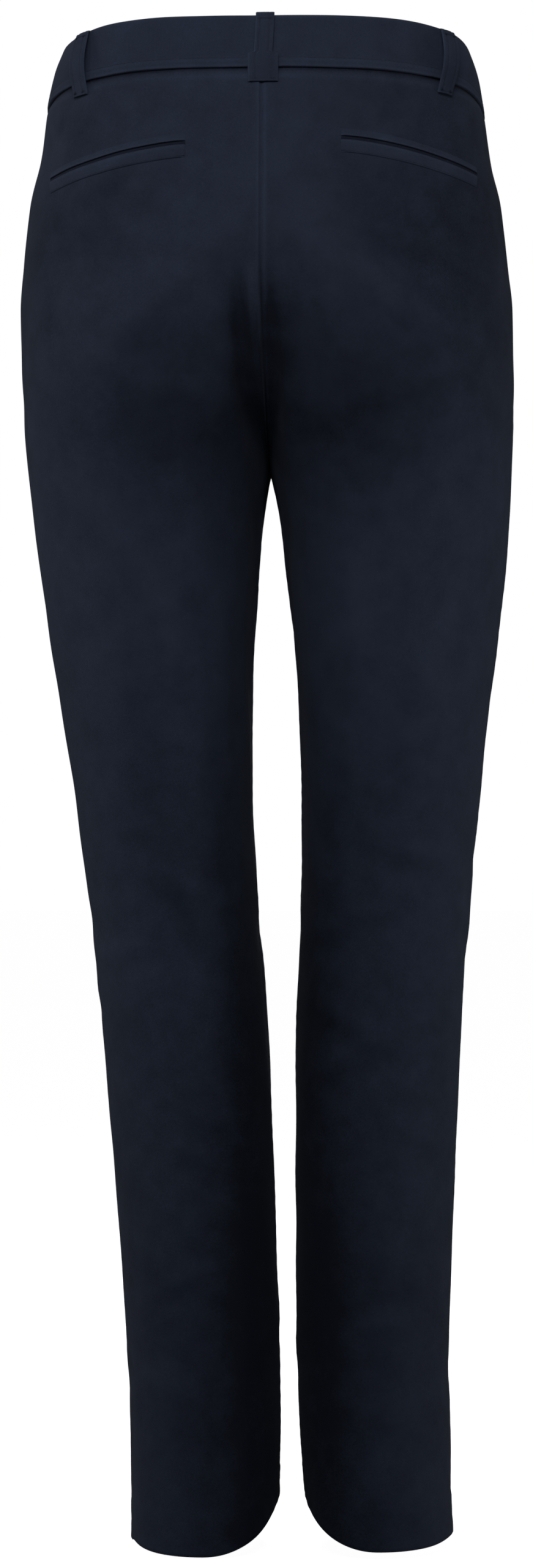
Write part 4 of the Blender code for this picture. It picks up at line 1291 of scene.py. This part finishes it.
def paint_and_give(tree, given, geometry):
    paint = add_node(tree, "GeometryNodeSetMaterial", {"Geometry": geometry, "Material": given["Thread"]})
    add_node(tree, "NodeGroupOutput", {0: paint.outputs[0]})


def stitch_tree():
    tree, given, path, names = new_node_tree("run of stitches", ("Pitch", "Length", "Width"))
    inputs = {"Curve": path, "Length": given["Pitch"]}
    steps = add_node(tree, "GeometryNodeResampleCurve", inputs, mode="LENGTH").outputs[0]
    tangent = add_node(tree, "GeometryNodeInputTangent").outputs[0]
    turn = add_node(tree, "FunctionNodeAlignRotationToVector", {"Vector": tangent}, axis="X").outputs[0]
    ball = add_node(tree, "GeometryNodeMeshUVSphere", {"Segments": 6, "Rings": 5, "Radius": 0.5}).outputs["Mesh"]
    inputs = {"Geometry": ball, "Rotation": (0, math.pi / 2, 0)}
    lying = add_node(tree, "GeometryNodeTransform", inputs).outputs[0]
    inputs = {0: given["Length"], 1: given["Width"], 2: given["Width"]}
    size = add_node(tree, "ShaderNodeCombineXYZ", inputs).outputs[0]
    stitch = add_node(tree, "GeometryNodeTransform", {"Geometry": lying, "Scale": size}).outputs[0]
    inputs = {"Points": steps, "Instance": stitch, "Rotation": turn}
    copies = add_node(tree, "GeometryNodeInstanceOnPoints", inputs).outputs[0]
    real = add_node(tree, "GeometryNodeRealizeInstances", {0: copies}).outputs[0]
    paint_and_give(tree, given, add_node(tree, "GeometryNodeSetShadeSmooth", {0: real}).outputs[0])
    return tree, names


def thread_tree():
    tree, given, path, names = new_node_tree("thread along a path", ("Width",))
    half = maths(tree, "MULTIPLY", given["Width"], 0.5)
    section = add_node(tree, "GeometryNodeCurvePrimitiveCircle", {"Resolution": 5, "Radius": half}).outputs["Curve"]
    inputs = {"Curve": path, "Profile Curve": section, "Fill Caps": True}
    tube = add_node(tree, "GeometryNodeCurveToMesh", inputs).outputs[0]
    paint_and_give(tree, given, add_node(tree, "GeometryNodeRealizeInstances", {0: tube}).outputs[0])
    return tree, names


STITCH_TREE = stitch_tree()
THREAD_TREE = thread_tree()
print("node trees:", STITCH_TREE[0].name, "and", THREAD_TREE[0].name)

# %% Sewing thread
Thread = namedtuple("Thread", "pitch length width")
TOPSTITCH = Thread(0.0030, 0.0024, 0.00050)
EDGESTITCH = Thread(0.0026, 0.0021, 0.00045)
TACK_WIDTH = 0.00038
TACK_LIFT = 0.0003


def mottled(name, colour, tones, grain, values, rough=None, bump=None):
    """A material between two tones of one colour, in grains of this scale, detail and roughness."""
    material, tree, shader = new_material(name, values)
    share = noise(tree, add_node(tree, "ShaderNodeTexCoord").outputs["Object"], *grain)
    low, high = ([tone * c for c in colour] for tone in tones)
    two_tone(tree, shader, low, high, share)
    if rough:
        feed(tree, shader.inputs["Roughness"], maths(tree, "MULTIPLY_ADD", share, *rough))
    if bump:
        add_bump(tree, shader, share, *bump)
    return material


def bake_paths(name, paths, tree_and_names, values):
    """Runs a node tree on paths of points and keeps the result as a plain mesh piece."""
    points, edges = [], []
    for path in paths:
        start = len(points)
        points += np.asarray(path).tolist()
        edges += [(i, i + 1) for i in range(start, len(points) - 1)]
    mesh = bpy.data.meshes.new(name)
    mesh.from_pydata(points, edges, [])
    guide = add_object(name, mesh)
    tree, names = tree_and_names
    modifier = guide.modifiers.new(tree.name, "NODES")
    modifier.node_group = tree
    for key, value in values.items():
        modifier[names[key]] = value
    return bake(guide)


def bake(piece):
    """Keeps the result of the piece's modifiers as its plain mesh."""
    bpy.context.view_layer.update()
    baked = bpy.data.meshes.new_from_object(piece.evaluated_get(bpy.context.evaluated_depsgraph_get()))
    piece.modifiers.clear()
    piece.data = baked
    return piece


thread_finish = {"Roughness": 0.7, "Specular IOR Level": 0.15}
navy_thread = mottled(
    "navy sewing thread", (0.011, 0.0145, 0.025), (0.75, 1.25), (1800.0, 1.0), thread_finish, bump=(0.4, 0.0001)
)


def sew(name, paths, thread, material=navy_thread, slot="twill"):
    values = {"Pitch": thread.pitch, "Length": thread.length, "Width": thread.width, "Thread": material}
    piece = bake_paths(name, paths, STITCH_TREE, values)
    print(f"{name}: {len(piece.data.polygons)} faces")
    return hang(piece, slot)


def tack(name, paths, width=TACK_WIDTH):
    piece = bake_paths(name, paths, THREAD_TREE, {"Width": width, "Thread": navy_thread})
    piece.data.shade_smooth()
    print(f"{name}: {len(paths)} tacks")
    return hang(piece, "twill")


def zigzag(start, end, out, turns=15):
    """A zigzag between two points, its stitches across the line, at this half width along out."""
    t = np.linspace(0, 1, 2 * turns)[:, None]
    sway = np.where(np.arange(2 * turns) % 2 == 0, 1.0, -1.0)[:, None]
    return start + (end - start) * t + out * sway


print("stitches a metre:", round(1 / TOPSTITCH.pitch))

# %% Stitch the waistband
BAND_STITCH_LIFT = 0.00005
BAND_STITCH_ENDS = (BAND_OVER_END + 0.02, BAND_UNDER_END - 0.16)


def band_line(angles):
    height = np.full_like(angles, -BAND_HEIGHT + BAND_STITCH_UP)
    out = BAND_PROUD - band_set_in(angles) - band_relief(angles, height) + BAND_STITCH_LIFT
    return skin("left", angles, height, out)


sew("waistband_stitches", [band_line(np.linspace(*BAND_STITCH_ENDS, 1400))], TOPSTITCH)

# %% Stitch and tack the belt loops
LOOP_STITCH_ENDS = (-0.0045, -0.0395)
LOOP_TACK_DOWN = 0.0050
LOOP_FOOT_TACK = -0.0410
LOOP_TACK_SHARE = 0.80
LOOP_TACK_HALF = (0, 0, 0.0008)
LOOP_STITCH_LIFT = 0.0001


def loop_line(loop, heights, share):
    """A path down a loop's face, at this share of its half width."""
    out = loop_stand_off(loop, heights) + (1.0 - LOOP_GROOVE) * LOOP_WALL + LOOP_STITCH_LIFT
    return skin(loop.side, loop_angle(loop, share, heights), heights, out)


def loop_tack(loop, height):
    """A bar tack across a loop."""
    height = np.array([height])
    normal = outward(loop.side, angle_across(loop.back, loop.across, height), height)[0]
    ends = [loop_line(loop, height, at)[0] + normal * TACK_LIFT for at in (-LOOP_TACK_SHARE, LOOP_TACK_SHARE)]
    return zigzag(*ends, np.array(LOOP_TACK_HALF))


loop_heights = np.linspace(*LOOP_STITCH_ENDS, 60)
loop_paths = [loop_line(loop, loop_heights, at) for loop in LOOPS for at in (-LOOP_STITCH, LOOP_STITCH)]
sew("belt_loop_stitches", loop_paths, EDGESTITCH)
loop_tacks = [loop_tack(loop, at) for loop in LOOPS for at in (loop.top - LOOP_TACK_DOWN, LOOP_FOOT_TACK)]
tack("belt_loop_tacks", loop_tacks)

# %% Stitch the pockets and the fly
FLY_STITCH_ACROSS = 0.031
FLY_STITCH_TURN = -0.168
FLY_STITCH_FOOT = -0.198
FLY_STITCH_LIFT = 0.00008
FLY_STITCH_TOP, FLY_STITCH_LAST = -BAND_HEIGHT - 0.002, 0.002
FLY_STRAIGHT_POINTS, FLY_TURN_POINTS = 120, 60
FLY_TACK_ACROSS, FLY_TACK_HEIGHTS, FLY_TACK_HALF = (0.004, 0.012), (-0.190, -0.180), (0.0006, 0, -0.0006)
POCKET_STITCH_RUN, WELT_STITCH_RUN = (0.01, 0.985, 240), (0.012, 0.985, 260)
POCKET_STITCHES = ((0.0059, 0.00125), (0.0073, 0.00100))
WELT_STITCH_DOWN, WELT_STITCH_LIFT = 0.0077, 0.00078


def fly_path():
    """Down the left front beside the fly, and round to the centre seam at its foot."""
    straight = np.linspace(FLY_STITCH_TOP, FLY_STITCH_TURN, FLY_STRAIGHT_POINTS)
    turn = np.linspace(0, math.pi / 2, FLY_TURN_POINTS)[1:]
    round_turn = FLY_STITCH_ACROSS * np.cos(turn) + FLY_STITCH_LAST * np.sin(turn)
    across = np.concatenate([np.full(FLY_STRAIGHT_POINTS, FLY_STITCH_ACROSS), round_turn])
    height = np.concatenate([straight, FLY_STITCH_TURN + (FLY_STITCH_FOOT - FLY_STITCH_TURN) * np.sin(turn)])
    return skin("left", angle_across(False, across, height), height, FLY_STITCH_LIFT)


def fly_tack():
    heights = np.array(FLY_TACK_HEIGHTS)
    ends = skin("left", angle_across(False, np.array(FLY_TACK_ACROSS), heights), heights, TACK_LIFT)
    return zigzag(*ends, np.array(FLY_TACK_HALF), turns=11)


pocket_share = np.linspace(*POCKET_STITCH_RUN)
pocket_rows = [(side, *row) for side in SIGN for row in POCKET_STITCHES]
pocket_lines = [skin(side, *pocket_path(side, pocket_share, near), lift) for side, near, lift in pocket_rows]
sew("front_pocket_stitches", pocket_lines, EDGESTITCH)
welt_share = np.linspace(*WELT_STITCH_RUN)
welt_lines = [skin(side, *welt_path(side, welt_share, WELT_STITCH_DOWN), WELT_STITCH_LIFT) for side in SIGN]
sew("back_welt_stitches", welt_lines, EDGESTITCH)
sew("fly_stitches", [fly_path()], TOPSTITCH)
tack("fly_tack", [fly_tack()])

# %% [markdown]
# ## Fly, zip and button
# The fly is closed, so the zip lies behind the left front's lap and only shows from inside or above. Its slider
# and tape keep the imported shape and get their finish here. The teeth are one small tooth repeated down the tape.
# The button is turned like the real one, with a raised rim, a dish and four holes, and thread crosses it.

# %% Zip teeth, and the finish of the hidden pieces
ZIP_CENTRE = 0.0055
ZIP_TAPE_DEPTH = 0.0058
ZIP_TEETH_ENDS = (-0.050, -0.197)
TOOTH = Thread(0.0016, 0.0009, 0.0020)
# How far each row of teeth lies beside the zip's centre, and how far its top is below the other's
TOOTH_ROWS, TOOTH_SUNK = ((-0.0009, 0.0), (0.0009, 0.0008)), 0.0009
WEFT, WARP = 0.0007, 0.0009


def woven_tape(name, dye):
    """A narrow woven tape, ribbed along its length. It reads Object coordinates, as the tape has no UV map."""
    material, tree, shader = new_material(name, {"Roughness": 0.8})
    place = add_node(tree, "ShaderNodeTexCoord").outputs["Object"]
    split = add_node(tree, "ShaderNodeSeparateXYZ", {0: place}).outputs
    weft = maths(tree, "SINE", maths(tree, "MULTIPLY", split[2], math.tau / WEFT))
    warp = maths(tree, "SINE", maths(tree, "MULTIPLY", split[0], math.tau / WARP))
    height = maths(tree, "MULTIPLY_ADD", maths(tree, "MULTIPLY", weft, warp), 0.5, 0.5)
    two_tone(tree, shader, dye.deep, dye.faded, height)
    add_bump(tree, shader, height, 0.4, 0.0002)
    return material


def finish_node(name, material):
    """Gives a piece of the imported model, whose shape stays, its finish."""
    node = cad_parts[name]
    node.data.materials.clear()
    node.data.materials.append(material)


def tooth_row(offset, drop):
    heights = np.linspace(ZIP_TEETH_ENDS[0] - drop, ZIP_TEETH_ENDS[1], 160)
    x, y, z = bare_skin("left", -math.pi / 2, heights).T
    return np.stack([0 * x + ZIP_CENTRE + offset, y + ZIP_TAPE_DEPTH - TOOTH_SUNK, z], axis=1)


zip_brass = mottled(
    "zip brass", (0.42, 0.34, 0.20), (0.55, 1.0), (400.0, 4.0), {"Metallic": 1.0}, rough=(0.25, 0.28)
)
finish_node("zip_tape", woven_tape("zip tape", NAVY_INSIDE))
finish_node("fly_shield", woven_tape("fly shield twill", NAVY_INSIDE))
finish_node("zip_slider", zip_brass)
sew("zip_teeth", [tooth_row(*row) for row in TOOTH_ROWS], TOOTH, zip_brass, "zip_metal")

# %% Waistband button and buttonhole
BUTTON_ANGLE = math.radians(-90 + 3.5)
BUTTON_UP = -BAND_HEIGHT / 2
# Radius and height of the button's face and back, in millimetres
BUTTON_OUTLINE = (
    (0.0, 0.0), (7.0, 0.0), (7.9, 0.3), (8.4, 0.9), (8.5, 1.5), (8.4, 2.2), (8.1, 2.7), (7.7, 3.0), (7.3, 2.9),
    (6.9, 2.5), (6.4, 2.2), (5.6, 2.1), (0.0, 2.1),
)  # fmt: skip
BUTTON_STEPS, BUTTON_SHARP = 64, math.radians(35)
HOLES, HOLE_RADIUS, HOLE_OUT, HOLE_SIDES, DRILL_DEPTH = 4, 0.0009, 0.0019, 20, 0.02
STRAND_AT, STRAND_HALF, STRAND_APART, STRAND_RISE, STRAND_BASE = 0.00134, 0.00140, 0.0002, 0.0010, 0.0016
BUTTONHOLE_HALF, BUTTONHOLE_GAPE, BUTTONHOLE_ASIDE, BUTTONHOLE_POWER = 0.088, 0.0014, 0.050, 0.6
BUTTONHOLE_LIFT = 0.0002
STRAND_WIDTH, BUTTONHOLE_WIDTH = 0.0004, 0.0007
RESIN = (0.016, 0.019, 0.030)


def turn_button():
    turned = bmesh.new()
    points = [turned.verts.new((radius / 1000, 0, height / 1000)) for radius, height in BUTTON_OUTLINE]
    edges = [turned.edges.new(pair) for pair in zip(points, points[1:])]
    bmesh.ops.spin(turned, geom=points + edges, cent=(0, 0, 0), axis=(0, 0, 1), angle=math.tau, steps=BUTTON_STEPS)
    bmesh.ops.remove_doubles(turned, verts=turned.verts, dist=1e-6)
    bmesh.ops.recalc_face_normals(turned, faces=turned.faces)
    mesh = bpy.data.meshes.new("waistband_button_disc")
    turned.to_mesh(mesh)
    turned.free()
    grain, finish = (300.0, 4.0, 0.6), {"Specular IOR Level": 0.15}
    mesh.materials.append(mottled("button resin", RESIN, (0.5, 1.8), grain, finish, rough=(0.2, 0.40)))
    return add_object("waistband_button_disc", mesh)


def drill_button(disc):
    drills = []
    for i in range(HOLES):
        corner = math.tau * (i + 0.5) / HOLES
        bpy.ops.mesh.primitive_cylinder_add(vertices=HOLE_SIDES, radius=HOLE_RADIUS, depth=DRILL_DEPTH)
        drill = bpy.context.object
        drill.location = (HOLE_OUT * math.cos(corner), HOLE_OUT * math.sin(corner), 0)
        cut = disc.modifiers.new(f"hole {i + 1}", "BOOLEAN")
        cut.operation = "DIFFERENCE"
        cut.object = drill
        drills.append(drill)
    bake(disc)
    for drill in drills:
        bpy.data.objects.remove(drill)


def through_holes(place):
    """The threads that hold the button, two pairs of strands from hole to hole."""
    y = np.linspace(-STRAND_AT, STRAND_AT, 9)
    z = STRAND_BASE + STRAND_RISE * np.sqrt(np.clip(1 - (y / STRAND_HALF) ** 2, 0, 1))
    strands = [hole + shift for hole in (-STRAND_AT, STRAND_AT) for shift in (-STRAND_APART, STRAND_APART)]
    return [[tuple(place @ Vector((x, b, c))) for b, c in zip(y, z)] for x in strands]


def buttonhole():
    """Close stitches round a slit that runs from the button to the end of the band's lap."""
    turn = np.linspace(0, math.tau, 81)
    along = np.sign(np.cos(turn)) * np.abs(np.cos(turn)) ** BUTTONHOLE_POWER
    angle = BUTTON_ANGLE - BUTTONHOLE_ASIDE + BUTTONHOLE_HALF * along
    height = BUTTON_UP + BUTTONHOLE_GAPE * np.sin(turn)
    return skin("left", angle, height, BAND_PROUD - band_relief(angle, height) + BUTTONHOLE_LIFT)


at_button = ("left", np.array(BUTTON_ANGLE), np.array(BUTTON_UP))
button_turn = Vector(outward(*at_button)).to_track_quat("Z", "Y").to_matrix().to_4x4()
button_turn.translation = Vector(skin(*at_button, BAND_PROUD + SEAM_GAP))
button = turn_button()
drill_button(button)
button.data.transform(button_turn)
button.data.shade_smooth()
button.data.set_sharp_from_angle(angle=BUTTON_SHARP)
hang(button, "button_resin", "waistband_button")
tack("button_thread", through_holes(button_turn), STRAND_WIDTH)
tack("buttonhole_stitches", [buttonhole()], BUTTONHOLE_WIDTH)
